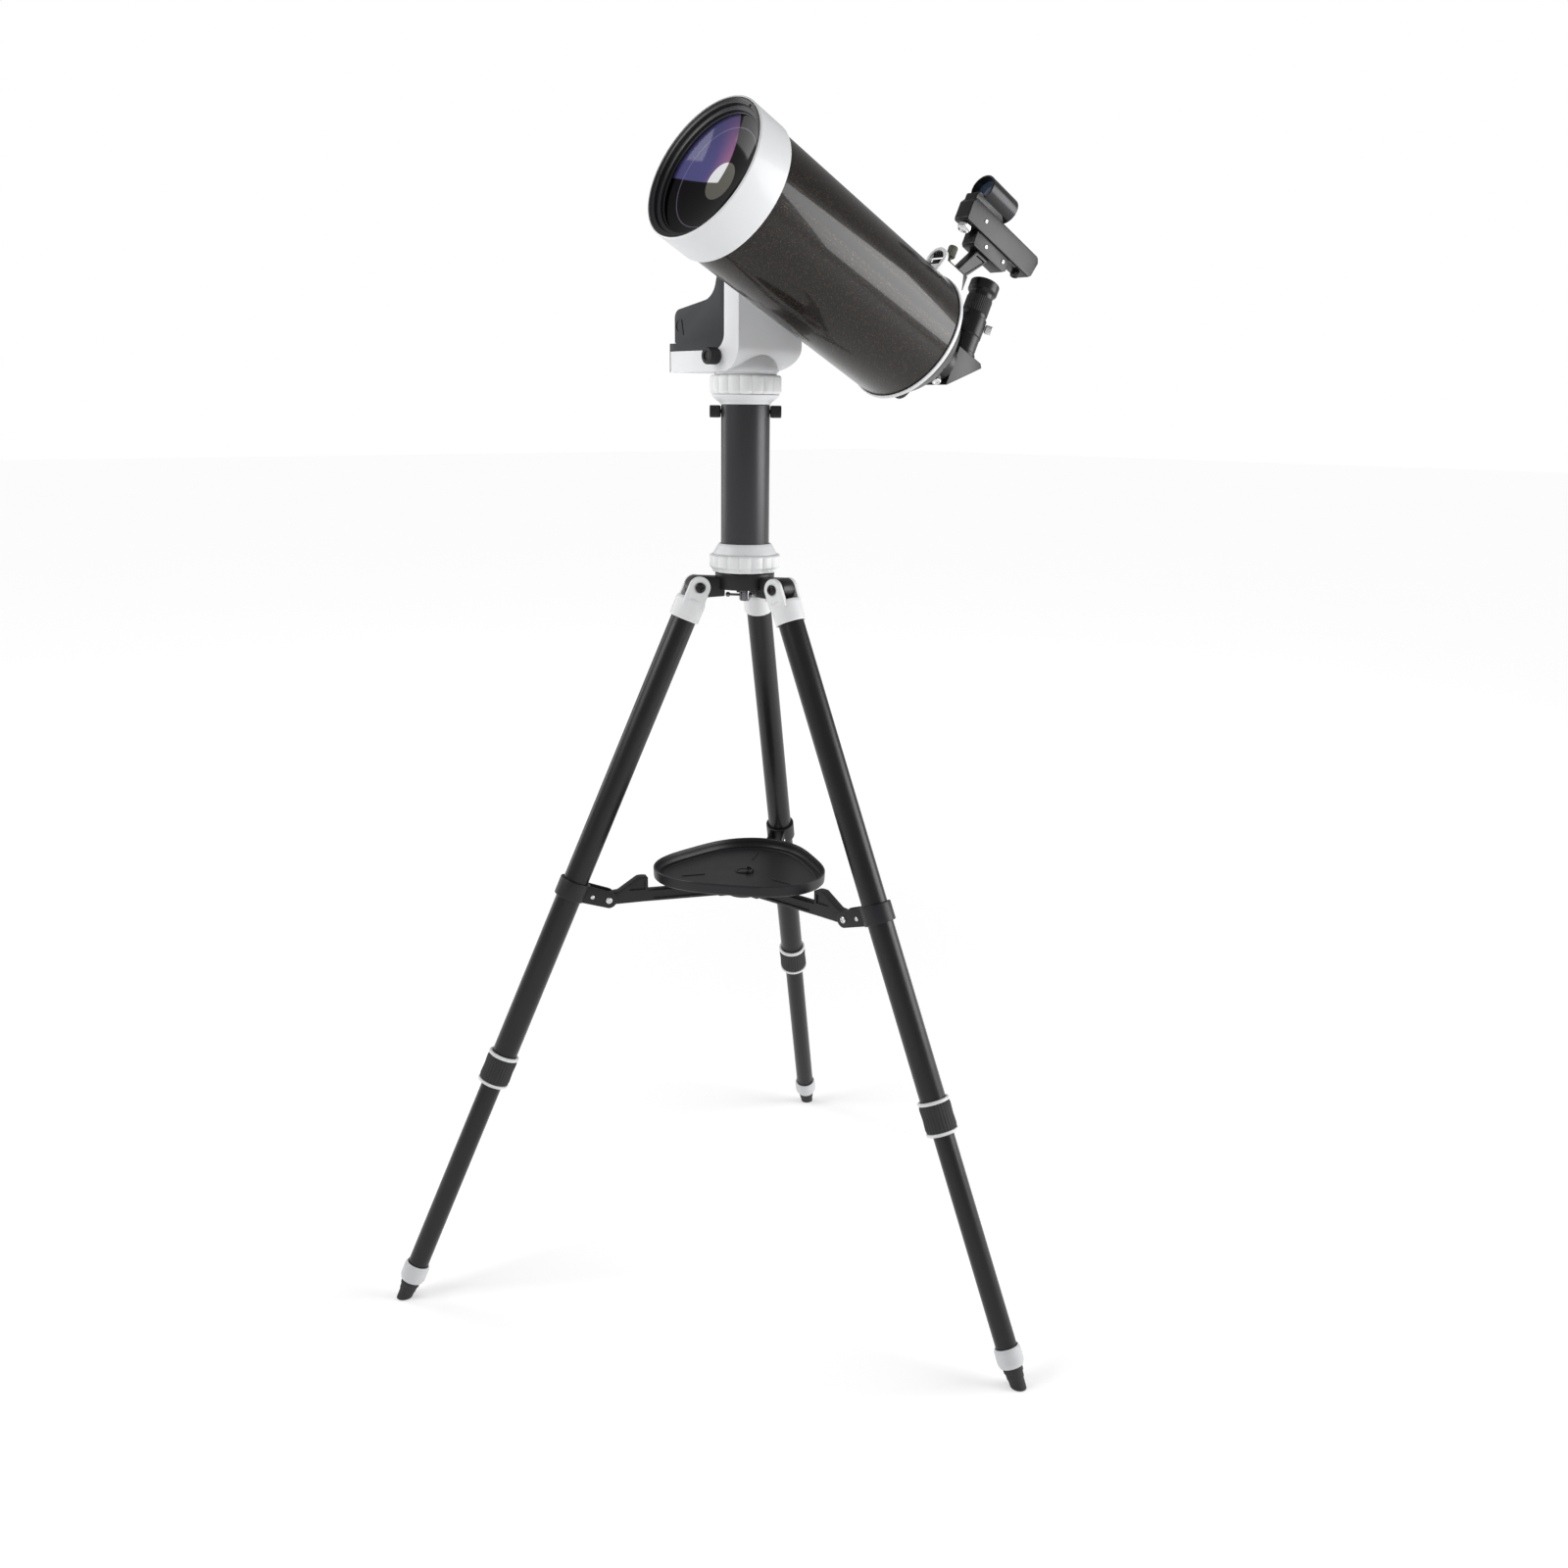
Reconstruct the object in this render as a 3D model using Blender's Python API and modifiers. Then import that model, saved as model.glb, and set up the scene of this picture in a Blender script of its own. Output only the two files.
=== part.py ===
"""Maksutov telescope on a motorised single-arm alt-azimuth head, pillar and folding tripod.

Every size below is in millimetres and is turned into metres where the mesh is made.
The telescope points along -Y, the altitude axis runs along +X and +Z is up.
Frames (empties) carry the joint axes; each sub-part is modelled in its own frame.
"""
from math import cos, pi, radians, sin, sqrt

import bmesh
import bpy
from mathutils import Matrix, Vector

MM = 0.001
GAP = 0.3                  # between two pieces that touch
PIN_GAP = 0.3              # round a pin, bolt or screw

# ---- tripod -------------------------------------------------------------------------------------
LEG_AZIMUTHS = (5.6, 125.6, 245.6)
LEG_TILT = 23.36           # from the vertical
LEG_LENGTH = 916.1         # from hinge to floor, along the leg
HINGE_RADIUS = 56.8
HINGE_HEIGHT = LEG_LENGTH * cos(radians(LEG_TILT))
FOOT_RADIUS = HINGE_RADIUS + LEG_LENGTH * sin(radians(LEG_TILT))
LUG_RADIUS = 13.0
LUG_WIDTH = 19.4
EAR_THICKNESS = 5.2
EAR_RADIUS = 12.4
HINGE_BOLT_RADIUS = 3.0
HINGE_HEAD_RADIUS = 5.8
HINGE_HEAD_HEIGHT = 3.0
SOCKET_TOP = 14.3          # distances along the leg, from the hinge
SOCKET_FLOOR = 2.0
SOCKET_END = 40.0
SOCKET_WALL = 2.6
UPPER_RADIUS = 14.7
UPPER_WALL = 1.4
UPPER_END = 610.0
LOWER_RADIUS = 12.0
LOWER_WALL = 1.3
LOWER_START = 331.0
COLLAR_START = 592.0
COLLAR_END = 631.0
COLLAR_RADIUS = 18.4
FOOT_LENGTH = 45.1         # from the floor to the top of the white cap, along the leg
FOOT_TIP_LENGTH = 23.1
FOOT_START = LEG_LENGTH - FOOT_LENGTH
FOOT_CAP_RADIUS = 15.2
FOOT_CAP_END = LEG_LENGTH - FOOT_TIP_LENGTH
FOOT_TIP_RADIUS = 8.6

# ---- spreader and tray --------------------------------------------------------------------------
CLAMP_START = 368.0
CLAMP_HEIGHT = 22.0
CLAMP_WALL = 3.4
SPREADER_HEIGHT = 478.0    # arm pivots
ARM_OUTER_REACH = 166.0    # from the tripod axis
ARM_INNER_REACH = 30.0
ARM_WIDTH = 13.0
ARM_HALF_HEIGHT = 7.0
ARM_GUSSET_HEIGHT = 24.0
ARM_CHEEK = 3.0
ARM_CHEEK_GAP = 0.6
CHEEK_HEAD_RADIUS = 4.0
ARM_PIN_RADIUS = 2.5
SPREADER_CORE_RADIUS = 19.0
TRAY_FLOOR_HEIGHT = 494.0
TRAY_FLOOR = 3.0
TRAY_RIM = 14.0
TRAY_WALL = 2.6
TRAY_MEAN_RADIUS = 103.0
TRAY_CORNER = 9.5          # how far the corners stand out and the sides draw in
TRAY_STUD_RADIUS = 7.0

# ---- pillar -------------------------------------------------------------------------------------
HUB_RADIUS = 34.0
HUB_THICKNESS = 19.0
HUB_TOP = HINGE_HEIGHT + 16.0
HUB_BOLT_RADIUS = 5.0
PILLAR_RADIUS = 27.45
PILLAR_WALL = 1.9
PILLAR_LENGTH = 176.4
PILLAR_SEAT = 9.0          # thickness of the lower flange's floor
LOWER_FLANGE_RADIUS = 41.0
LOWER_FLANGE_HEIGHT = 32.0
UPPER_FLANGE_RADIUS = 38.2
UPPER_FLANGE_HEIGHT = 10.8
SPIGOT_LENGTH = 18.0
THUMBSCREW_RADIUS = 6.8
THUMBSCREW_LENGTH = 12.5
THUMBSCREW_SHANK = 2.5
THUMBSCREW_DROP = 7.4      # below the pillar's top
THUMBSCREW_AZIMUTH = 49.4
T_BAR_LENGTH = 27.0
T_BAR_OFFSET = 6.5
T_BAR_RADIUS = 1.5
T_BAR_BALL = 3.1

# ---- head ---------------------------------------------------------------------------------------
CLUTCH_RADIUS = 40.3
CLUTCH_HEIGHT = 20.6
CLUTCH_LOBES = 16
AXLE_RADIUS = 12.0
AXLE_SPIGOT_RADIUS = 8.0
WORM_WHEEL_RADIUS = 26.0
WORM_WHEEL_HEIGHT = 7.0
DRUM_RADIUS = 36.8
DRUM_PLATE = 3.0
BOSS_HEIGHT = 24.0
BOSS_TOP_RADIUS = 27.5
BODY_WALL = 3.0
BODY_FRONT = -37.0         # along Y
BODY_BACK = 56.0
ARM_OUTER = 31.0           # along X
ARM_INNER = 6.5
BOX_END = -88.4
BOX_HEIGHT = 23.0
ARM_CORNER = 28.0
COVER_BACK = -8.0
COVER_WALL = 2.4
COVER_SIDE = -81.2
COVER_SHOULDER = 62.0      # above the box's floor
COVER_LIP = 2.0
ALTITUDE_Y = (BODY_FRONT + BODY_BACK) / 2 - 0.5
ALTITUDE_Z = 1167.5
ARM_TOP_RADIUS = 46.5
CELL_RADIUS = 7.1
CELL_LENGTH = 50.0
CELL_BACK = 34.0
CELL_COLUMNS = 4
MOTOR_RADIUS = 7.0
MOTOR_LENGTH = 24.0
WORM_NECK = 6.0
WORM_RADIUS = 4.0
WORM_LENGTH = 20.0
ALT_WHEEL_RADIUS = 27.0
ALT_WHEEL_WIDTH = 7.0
ALT_AXLE_RADIUS = 9.0
ALT_KNOB_RADIUS = 25.0
ALT_KNOB_WIDTH = 11.6

# ---- telescope ----------------------------------------------------------------------------------
ALTITUDE = 26.66           # pointing above the horizon at rest
TUBE_RADIUS = 72.0
TUBE_CLEAR = 69.0          # from the azimuth axis to the near side of the tube
TUBE_OFFSET = TUBE_CLEAR + TUBE_RADIUS
TUBE_WALL = 1.7
TUBE_FRONT = 175.0         # stations along the optical axis, from the altitude axis
TUBE_REAR = -112.0
CELL_FRONT = 207.2
CELL_REAR = 164.2
CELL_STEP = 2.9            # how far the front cell stands out from the tube
CELL_OUTER = TUBE_RADIUS + CELL_STEP
CELL_LIP = 1.6
LENS_INSET = 5.5           # between the rims of lens and tube
LENS_RADIUS = TUBE_RADIUS - LENS_INSET
LENS_EDGE = 12.0
LENS_CURVE = 190.0
REAR_RING_STEP = 1.8
REAR_RING_RADIUS = TUBE_RADIUS + REAR_RING_STEP
REAR_RING_FRONT = -109.1
REAR_RING_WIDTH = 5.0
REAR_CELL_OUTER = ((5.5, -115.0), (7.0, -122.0), (17.0, -136.0), (32.0, -150.0))   # inside the tube's radius
REAR_CELL_INNER = ((34.0, -146.5), (20.5, -134.0), (10.5, -121.0), (9.0, -112.3))
REAR_CELL_BACK = -150.0
REAR_CELL_FLOOR = 3.5
MIRROR_INSET = 6.0
MIRROR_RADIUS = TUBE_RADIUS - MIRROR_INSET
MIRROR_FRONT = -80.0
MIRROR_THICKNESS = 18.0
MIRROR_DISH = 4.4
BAFFLE_RADIUS = 16.0
BAFFLE_FRONT = 60.0
BAFFLE_BORE = 14.4
FOCUS_KNOB = (-43.0, -30.0)
FOCUS_KNOB_RADIUS = 13.0
FOCUS_KNOB_LENGTH = 24.0
FOCUS_BOSS_RADIUS = 11.0
FOCUS_BOSS = (-122.0, -150.6)
VISUAL_BACK_RADIUS = 24.0
VISUAL_BACK_FLANGE = 31.0
VISUAL_BACK_END = -175.0
VISUAL_SCREW_TURN = -60.0
VISUAL_SCREW_STATION = -163.0
NOSE_RADIUS = 15.9
DIAGONAL_STATION = -198.0  # where the two optical axes meet
DIAGONAL_LEAN = 0.0
DIAGONAL_TOP = 23.0        # from the crossing of the axes
DIAGONAL_FRONT = 22.0
DIAGONAL_BOTTOM = 24.0
DIAGONAL_BACK = 23.0
DIAGONAL_WIDTH = 36.0
PRISM_INSET = 4.2
HOLDER_RADIUS = 16.4
HOLDER_END = 69.0
EYEPIECE_BARREL = 13.6
EYEPIECE_RADIUS = 14.2
EYEPIECE_NECK = 98.0
EYEPIECE_TOP = 112.0
EYECUP_RADIUS = 17.2
EYEPIECE_SCREW_UP = 62.0
EYEPIECE_SCREW_TURN = 135.0
SET_SCREW_RADIUS = 5.0
SET_SCREW_LENGTH = 8.5
SET_SCREW_SHANK = 2.0
SADDLE_BASE = 10.0
SADDLE_LENGTH = 90.0
DOVETAIL_HALF = 22.0
DOVETAIL_NECK = 19.0
DOVETAIL_DEPTH = 8.0
DOVETAIL_LENGTH = 150.0
JAW_WIDTH = 9.0
JAW_TRAVEL = 4.0
SADDLE_WALL = 6.0
CLAMP_KNOB_RADIUS = 13.0

# ---- finder -------------------------------------------------------------------------------------
SHOE_HALF = 14.0
SHOE_WALL = 3.0
SHOE_LOW = TUBE_RADIUS - 3.5
SHOE_FLOOR = TUBE_RADIUS + 8.0
SHOE_TOP = TUBE_RADIUS + 21.5
SHOE_ARCH = TUBE_RADIUS + 35.5
SHOE_FRONT = -104.0
SHOE_REAR = -157.0
SHOE_RAKE = 9.0            # how far the ends lean in at the top
FINDER_FOOT_TOP = TUBE_RADIUS + 25.0
FINDER_STAND = (TUBE_RADIUS + 60.0, TUBE_RADIUS + 77.0)
FINDER_STAND_FRONT = -150.0
FINDER_STAND_REAR = -213.0
FINDER_STAND_HALF = 9.0
FINDER_BODY = (TUBE_RADIUS + 78.0, TUBE_RADIUS + 106.0)
FINDER_BODY_FRONT = -127.0
FINDER_BODY_REAR = -258.0
FINDER_BODY_HALF = 10.0
FINDER_TUBE_RADIUS = 15.8
FINDER_TUBE_WALL = 2.0
FINDER_TUBE_UP = TUBE_RADIUS + 126.0
FINDER_TUBE_FRONT = -142.0
FINDER_TUBE_REAR = -191.0
FINDER_SCREW = (-6.0, -138.0)
STALK_HALF = 6.0
POWER_KNOB_RADIUS = 7.5
POWER_KNOB_STATION = -137.0

COARSE, ROUND, FINE = 12, 24, 48

# ---- colours: red, green, blue, roughness, metallic ------------------------------------------------
WHITE = (0.86, 0.87, 0.87, 0.42, 0.0)
SATIN_BLACK = (0.030, 0.030, 0.033, 0.45, 0.0)
TUBE_BLACK = (0.020, 0.017, 0.016, 0.22, 0.35)
SLATE = (0.085, 0.100, 0.110, 0.55, 0.0)
PILLAR_GREY = (0.090, 0.090, 0.100, 0.38, 0.4)
RUBBER = (0.022, 0.022, 0.022, 0.80, 0.0)
PALE_GREY = (0.56, 0.57, 0.58, 0.50, 0.0)
STEEL = (0.62, 0.62, 0.63, 0.28, 1.0)
DARK_CHROME = (0.30, 0.27, 0.25, 0.25, 1.0)
BRASS = (0.72, 0.55, 0.26, 0.35, 1.0)
GLASS = (0.30, 0.30, 0.42, 0.06, 0.1)
MIRROR = (0.90, 0.90, 0.90, 0.04, 1.0)


for old in list(bpy.data.objects):
    bpy.data.objects.remove(old, do_unlink=True)

PARTS = bpy.data.collections.new("maksutov_telescope")
TOOLS = bpy.data.collections.new("cutters")
bpy.context.scene.collection.children.link(PARTS)
bpy.context.scene.collection.children.link(TOOLS)


# ---- modelling helpers --------------------------------------------------------------------------
def metres(values):
    return tuple(v * MM for v in values)


def link(name, data):
    thing = bpy.data.objects.new(name, data)
    PARTS.objects.link(thing)
    return thing


def frame(name, at, turn=(0, 0, 0), parent=None):
    """An empty on a joint's axis."""
    empty = link(name, None)
    empty.empty_display_size = 0.05
    empty.location = metres(at)
    empty.rotation_euler = [radians(a) for a in turn]
    empty.parent = parent
    return empty


def block(low, high, bevel=0.0):
    """A box between two corners, with its edges rounded if asked."""
    mesh = bpy.data.meshes.new("block")
    shape = bmesh.new()
    bmesh.ops.create_cube(shape, size=1.0)
    size = Vector(high) - Vector(low)
    middle = (Vector(high) + Vector(low)) / 2
    bmesh.ops.scale(shape, verts=shape.verts, vec=size * MM)
    bmesh.ops.translate(shape, verts=shape.verts, vec=middle * MM)
    shape.to_mesh(mesh)
    shape.free()
    thing = link("block", mesh)
    if bevel:
        edge = thing.modifiers.new("Bevel", "BEVEL")
        edge.width = bevel * MM
        edge.segments = 2
        edge.limit_method = "ANGLE"
    return thing


def cylinder(radius, start, end, steps=ROUND):
    """A round bar between two points."""
    start = Vector(start)
    end = Vector(end)
    mesh = bpy.data.meshes.new("cylinder")
    shape = bmesh.new()
    along = (end - start).to_track_quat("Z", "Y").to_matrix().to_4x4()
    bmesh.ops.create_cone(shape, cap_ends=True, segments=steps, radius1=radius * MM, radius2=radius * MM,
                          depth=(end - start).length * MM,
                          matrix=Matrix.Translation((start + end) / 2 * MM) @ along)
    for face in shape.faces:
        face.smooth = len(face.verts) == 4
    shape.to_mesh(mesh)
    shape.free()
    return link("cylinder", mesh)


def ball(radius, centre, steps=12):
    mesh = bpy.data.meshes.new("ball")
    shape = bmesh.new()
    bmesh.ops.create_uvsphere(shape, u_segments=steps, v_segments=steps // 2, radius=radius * MM,
                              matrix=Matrix.Translation(Vector(centre) * MM))
    for face in shape.faces:
        face.smooth = True
    shape.to_mesh(mesh)
    shape.free()
    return link("ball", mesh)


def turned(profile, steps=ROUND):
    """A profile of (radius, height) turned about Z, running down its outer side."""
    points = [(r * MM, 0, z * MM) for r, z in profile]
    edges = [(i, i + 1) for i in range(len(points) - 1)]
    if profile[0][0] > 0:
        edges.append((len(points) - 1, 0))
    mesh = bpy.data.meshes.new("turned")
    mesh.from_pydata(points, edges, [])
    thing = link("turned", mesh)
    screw = thing.modifiers.new("Screw", "SCREW")
    screw.axis = "Z"
    screw.steps = steps
    screw.render_steps = steps
    screw.use_merge_vertices = True
    screw.merge_threshold = 0.00001
    screw.use_smooth_shade = False
    return thing


def plate(outline, low, high, axis="Z"):
    """A flat outline extruded along an axis: (x, y) on Z, (x, z) on Y, (y, z) on X."""
    curve = bpy.data.curves.new("plate", "CURVE")
    curve.dimensions = "2D"
    curve.fill_mode = "BOTH"
    curve.extrude = (high - low) / 2 * MM
    spline = curve.splines.new("POLY")
    spline.points.add(len(outline) - 1)
    for point, (a, b) in zip(spline.points, outline):
        point.co = (a * MM, b * MM, 0, 1)
    spline.use_cyclic_u = True
    carrier = bpy.data.objects.new("plate", curve)
    PARTS.objects.link(carrier)
    mesh = bpy.data.meshes.new_from_object(carrier)
    bpy.data.objects.remove(carrier, do_unlink=True)
    middle = (high + low) / 2 * MM
    turn = {
        "Z": Matrix.Translation((0, 0, middle)),
        "Y": Matrix.Translation((0, middle, 0)) @ Matrix.Rotation(pi / 2, 4, "X"),
        "X": Matrix.Translation((middle, 0, 0)) @ Matrix(((0, 0, 1), (1, 0, 0), (0, 1, 0))).to_4x4(),
    }[axis]
    mesh.transform(turn)
    shape = bmesh.new()
    shape.from_mesh(mesh)
    bmesh.ops.remove_doubles(shape, verts=shape.verts, dist=0.00001)
    bmesh.ops.recalc_face_normals(shape, faces=shape.faces)
    shape.to_mesh(mesh)
    shape.free()
    return link("plate", mesh)


def arc(centre, radius, start, end, steps):
    """Points along a circle, angles in degrees."""
    angles = [radians(start + (end - start) * i / steps) for i in range(steps + 1)]
    return [(centre[0] + radius * cos(a), centre[1] + radius * sin(a)) for a in angles]


def wavy(mean, swing, waves, steps):
    """A closed outline whose radius swells a number of times round a turn."""
    angles = [2 * pi * i / steps for i in range(steps)]
    return [((mean + swing * cos(waves * a)) * cos(a), (mean + swing * cos(waves * a)) * sin(a))
            for a in angles]


def combine(target, tool, operation):
    TOOLS.objects.link(tool)
    PARTS.objects.unlink(tool)
    tool.parent = target
    tool.hide_render = True
    tool.display_type = "WIRE"
    modifier = target.modifiers.new(operation.title(), "BOOLEAN")
    modifier.operation = operation
    modifier.solver = "EXACT"
    modifier.object = tool


def cut(target, *tools):
    for tool in tools:
        combine(target, tool, "DIFFERENCE")
    return target


def join(target, *tools):
    for tool in tools:
        combine(target, tool, "UNION")
    return target


def shared(target, tool):
    combine(target, tool, "INTERSECT")
    return target


def spun(thing, matrix):
    """Turns or moves a piece's mesh in place."""
    thing.data.transform(matrix)
    return thing


def about_z(angle):
    return Matrix.Rotation(radians(angle), 4, "Z")


def finish(thing, name, parent, colour, at=(0, 0, 0), turn=(0, 0, 0)):
    """Names a sub-part, gives it its own material and puts it in its frame."""
    thing.name = name
    if thing.data.name != name:
        thing.data.name = name
    thing.parent = parent
    thing.location = metres(at)
    thing.rotation_euler = [radians(a) for a in turn]
    material = bpy.data.materials.new(name)
    material.use_nodes = True
    shader = material.node_tree.nodes["Principled BSDF"]
    shader.inputs["Base Color"].default_value = (*colour[:3], 1)
    shader.inputs["Roughness"].default_value = colour[3]
    shader.inputs["Metallic"].default_value = colour[4]
    thing.data.materials.clear()
    thing.data.materials.append(material)
    return thing


# ---- tripod -------------------------------------------------------------------------------------
def foot_places():
    return [(FOOT_RADIUS * cos(radians(a)), FOOT_RADIUS * sin(radians(a))) for a in LEG_AZIMUTHS]


def axis_place():
    """Where the azimuth axis stands when the middle of the three feet's box is the origin."""
    xs = [x for x, y in foot_places()]
    ys = [y for x, y in foot_places()]
    return -(min(xs) + max(xs)) / 2, -(min(ys) + max(ys)) / 2


def tripod_hub(base):
    hub = turned([(HUB_RADIUS - 1.5, HUB_TOP), (HUB_RADIUS, HUB_TOP - 1.5),
                  (HUB_RADIUS, HUB_TOP - HUB_THICKNESS), (HUB_BOLT_RADIUS + PIN_GAP, HUB_TOP - HUB_THICKNESS),
                  (HUB_BOLT_RADIUS + PIN_GAP, HUB_TOP)])
    lug = [(HUB_RADIUS - 8, HINGE_HEIGHT - LUG_RADIUS)]
    lug += arc((HINGE_RADIUS, HINGE_HEIGHT), LUG_RADIUS, -90, 90, 8)
    lug += [(HUB_RADIUS - 8, HINGE_HEIGHT + LUG_RADIUS)]
    for azimuth in LEG_AZIMUTHS:
        join(hub, spun(plate(lug, -LUG_WIDTH / 2, LUG_WIDTH / 2, "Y"), about_z(azimuth)))
    for azimuth in LEG_AZIMUTHS:
        hole = cylinder(HINGE_BOLT_RADIUS + PIN_GAP, (HINGE_RADIUS, -LUG_WIDTH, HINGE_HEIGHT),
                        (HINGE_RADIUS, LUG_WIDTH, HINGE_HEIGHT), COARSE)
        cut(hub, spun(hole, about_z(azimuth)))
    return finish(hub, "tripod_hub", base, SATIN_BLACK)


def ear_outside():
    return LUG_WIDTH / 2 + GAP + EAR_THICKNESS


def hinge_bolt(number, azimuth, at, base):
    seat = ear_outside() + GAP
    end = seat + HINGE_HEAD_HEIGHT
    bolt = turned([(0, end), (HINGE_HEAD_RADIUS - 1, end), (HINGE_HEAD_RADIUS, end - 1),
                   (HINGE_HEAD_RADIUS, seat), (HINGE_BOLT_RADIUS, seat), (HINGE_BOLT_RADIUS, -seat),
                   (HINGE_HEAD_RADIUS, -seat), (HINGE_HEAD_RADIUS, 1 - end), (HINGE_HEAD_RADIUS - 1, -end),
                   (0, -end)], COARSE)
    return finish(bolt, "leg_hinge_bolt_%d" % number, base, SATIN_BLACK, at, (90, 0, azimuth))


def leg_bracket(number, leg):
    outer = UPPER_RADIUS + GAP + SOCKET_WALL
    bracket = turned([(0, -SOCKET_TOP), (outer - 2, -SOCKET_TOP), (outer, -SOCKET_TOP - 2),
                      (outer, -SOCKET_END), (0, -SOCKET_END)])
    ear = [(-EAR_RADIUS, -SOCKET_TOP - 12), (EAR_RADIUS, -SOCKET_TOP - 12)]
    ear += arc((0, 0), EAR_RADIUS, 0, 180, 8)
    inside = LUG_WIDTH / 2 + GAP
    join(bracket, plate(ear, inside, ear_outside(), "Y"), plate(ear, -ear_outside(), -inside, "Y"))
    bore = cylinder(UPPER_RADIUS + GAP, (0, 0, -SOCKET_TOP - SOCKET_FLOOR), (0, 0, -SOCKET_END - 5))
    hole = cylinder(HINGE_BOLT_RADIUS + PIN_GAP, (0, -2 * inside, 0), (0, 2 * inside, 0), COARSE)
    cut(bracket, bore, hole)
    return finish(bracket, "leg_bracket_%d" % number, leg, WHITE)


def arm_pivot_on_leg():
    """The spreader arm's outer pivot, in the leg's own frame."""
    out = ARM_OUTER_REACH - HINGE_RADIUS
    down = SPREADER_HEIGHT - HINGE_HEIGHT
    tilt = radians(LEG_TILT)
    return out * cos(tilt) + down * sin(tilt), -out * sin(tilt) + down * cos(tilt)


def cheek_inside():
    return ARM_WIDTH / 2 + ARM_CHEEK_GAP


def leg_upper_tube(number, leg):
    """The upper tube with the spreader's clamp band tightened on it."""
    top = -SOCKET_TOP - SOCKET_FLOOR - GAP
    band = UPPER_RADIUS + CLAMP_WALL
    low = -CLAMP_START - CLAMP_HEIGHT
    tube = turned([(0, top), (UPPER_RADIUS, top), (UPPER_RADIUS, -CLAMP_START), (band, -CLAMP_START),
                   (band, low), (UPPER_RADIUS, low),
                   (UPPER_RADIUS, -UPPER_END), (0, -UPPER_END)])
    x, z = arm_pivot_on_leg()
    side = [(-UPPER_RADIUS, low), (-UPPER_RADIUS, -CLAMP_START)]
    side += arc((x, z), ARM_HALF_HEIGHT + 3, 80, 250, 10)
    outside = cheek_inside() + ARM_CHEEK
    for sign in (-1, 1):
        near, far = sorted((sign * cheek_inside(), sign * outside))
        head = cylinder(CHEEK_HEAD_RADIUS, (x, sign * (outside - 1), z), (x, sign * (outside + 2), z), COARSE)
        join(tube, plate(side, near, far, "Y"), head)
    cut(tube, cylinder(UPPER_RADIUS - UPPER_WALL, (0, 0, 5 - SOCKET_TOP), (0, 0, -UPPER_END - 5)))
    return finish(tube, "leg_upper_tube_%d" % number, leg, SATIN_BLACK)


def leg_collar(number, leg):
    shoulder = COLLAR_RADIUS - 1.8
    upper = UPPER_RADIUS + GAP
    lower = LOWER_RADIUS + GAP
    collar = turned([(shoulder, -COLLAR_START), (COLLAR_RADIUS, -COLLAR_START - 3), (COLLAR_RADIUS,
        3 - COLLAR_END), (shoulder, -COLLAR_END), (lower, -COLLAR_END),
                     (lower, -UPPER_END - GAP), (upper, -UPPER_END - GAP), (upper, -COLLAR_START)])
    return finish(collar, "leg_twist_collar_%d" % number, leg, RUBBER)


def leg_lower_tube(number, leg):
    inner = LOWER_RADIUS - LOWER_WALL
    end = FOOT_CAP_END - 4
    tube = turned([(LOWER_RADIUS, -LOWER_START), (LOWER_RADIUS, -end), (inner, -end), (inner, -LOWER_START)])
    return finish(tube, "leg_lower_tube_%d" % number, leg, SATIN_BLACK)


def leg_foot(number, leg):
    bore = LOWER_RADIUS + GAP
    below = LEG_LENGTH + 8
    foot = turned([(bore + 1, -FOOT_START), (FOOT_CAP_RADIUS, -FOOT_START - 4),
                   (FOOT_CAP_RADIUS - 0.4, -FOOT_CAP_END + 4), (bore, -FOOT_CAP_END), (FOOT_TIP_RADIUS + 2.4,
        -FOOT_CAP_END - 1),
                   (FOOT_TIP_RADIUS, -LEG_LENGTH + 4), (FOOT_TIP_RADIUS, -below), (1, -below),
                   (1, -FOOT_CAP_END + 4 - GAP), (bore, -FOOT_CAP_END + 4 - GAP), (bore, -FOOT_START)])
    floor = block((-60, -60, -40), (60, 60, 0))
    spun(floor, Matrix.Translation(metres((0, 0, -LEG_LENGTH))) @ Matrix.Rotation(radians(LEG_TILT), 4, "Y"))
    cut(foot, floor)
    return finish(foot, "leg_foot_%d" % number, leg, PALE_GREY)


def spreader_arm(number, azimuth, hub):
    at = (ARM_INNER_REACH * cos(radians(azimuth)), ARM_INNER_REACH * sin(radians(azimuth)), 0)
    length = ARM_OUTER_REACH - ARM_INNER_REACH
    h = ARM_HALF_HEIGHT
    outline = arc((0, 0), h, 90, 270, 8)
    outline += arc((length, 0), h, -90, 90, 8)
    outline += [(length - 16, h + 1), (length - 38, ARM_GUSSET_HEIGHT), (length - 48, ARM_GUSSET_HEIGHT),
                (length - 48, h)]
    arm = plate(outline, -ARM_WIDTH / 2, ARM_WIDTH / 2, "Y")
    cut(arm, cylinder(ARM_PIN_RADIUS + PIN_GAP, (0, -ARM_WIDTH, 0), (0, ARM_WIDTH, 0), COARSE))
    return finish(arm, "spreader_arm_%d" % number, hub, SATIN_BLACK, at, (0, 0, azimuth))


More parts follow.
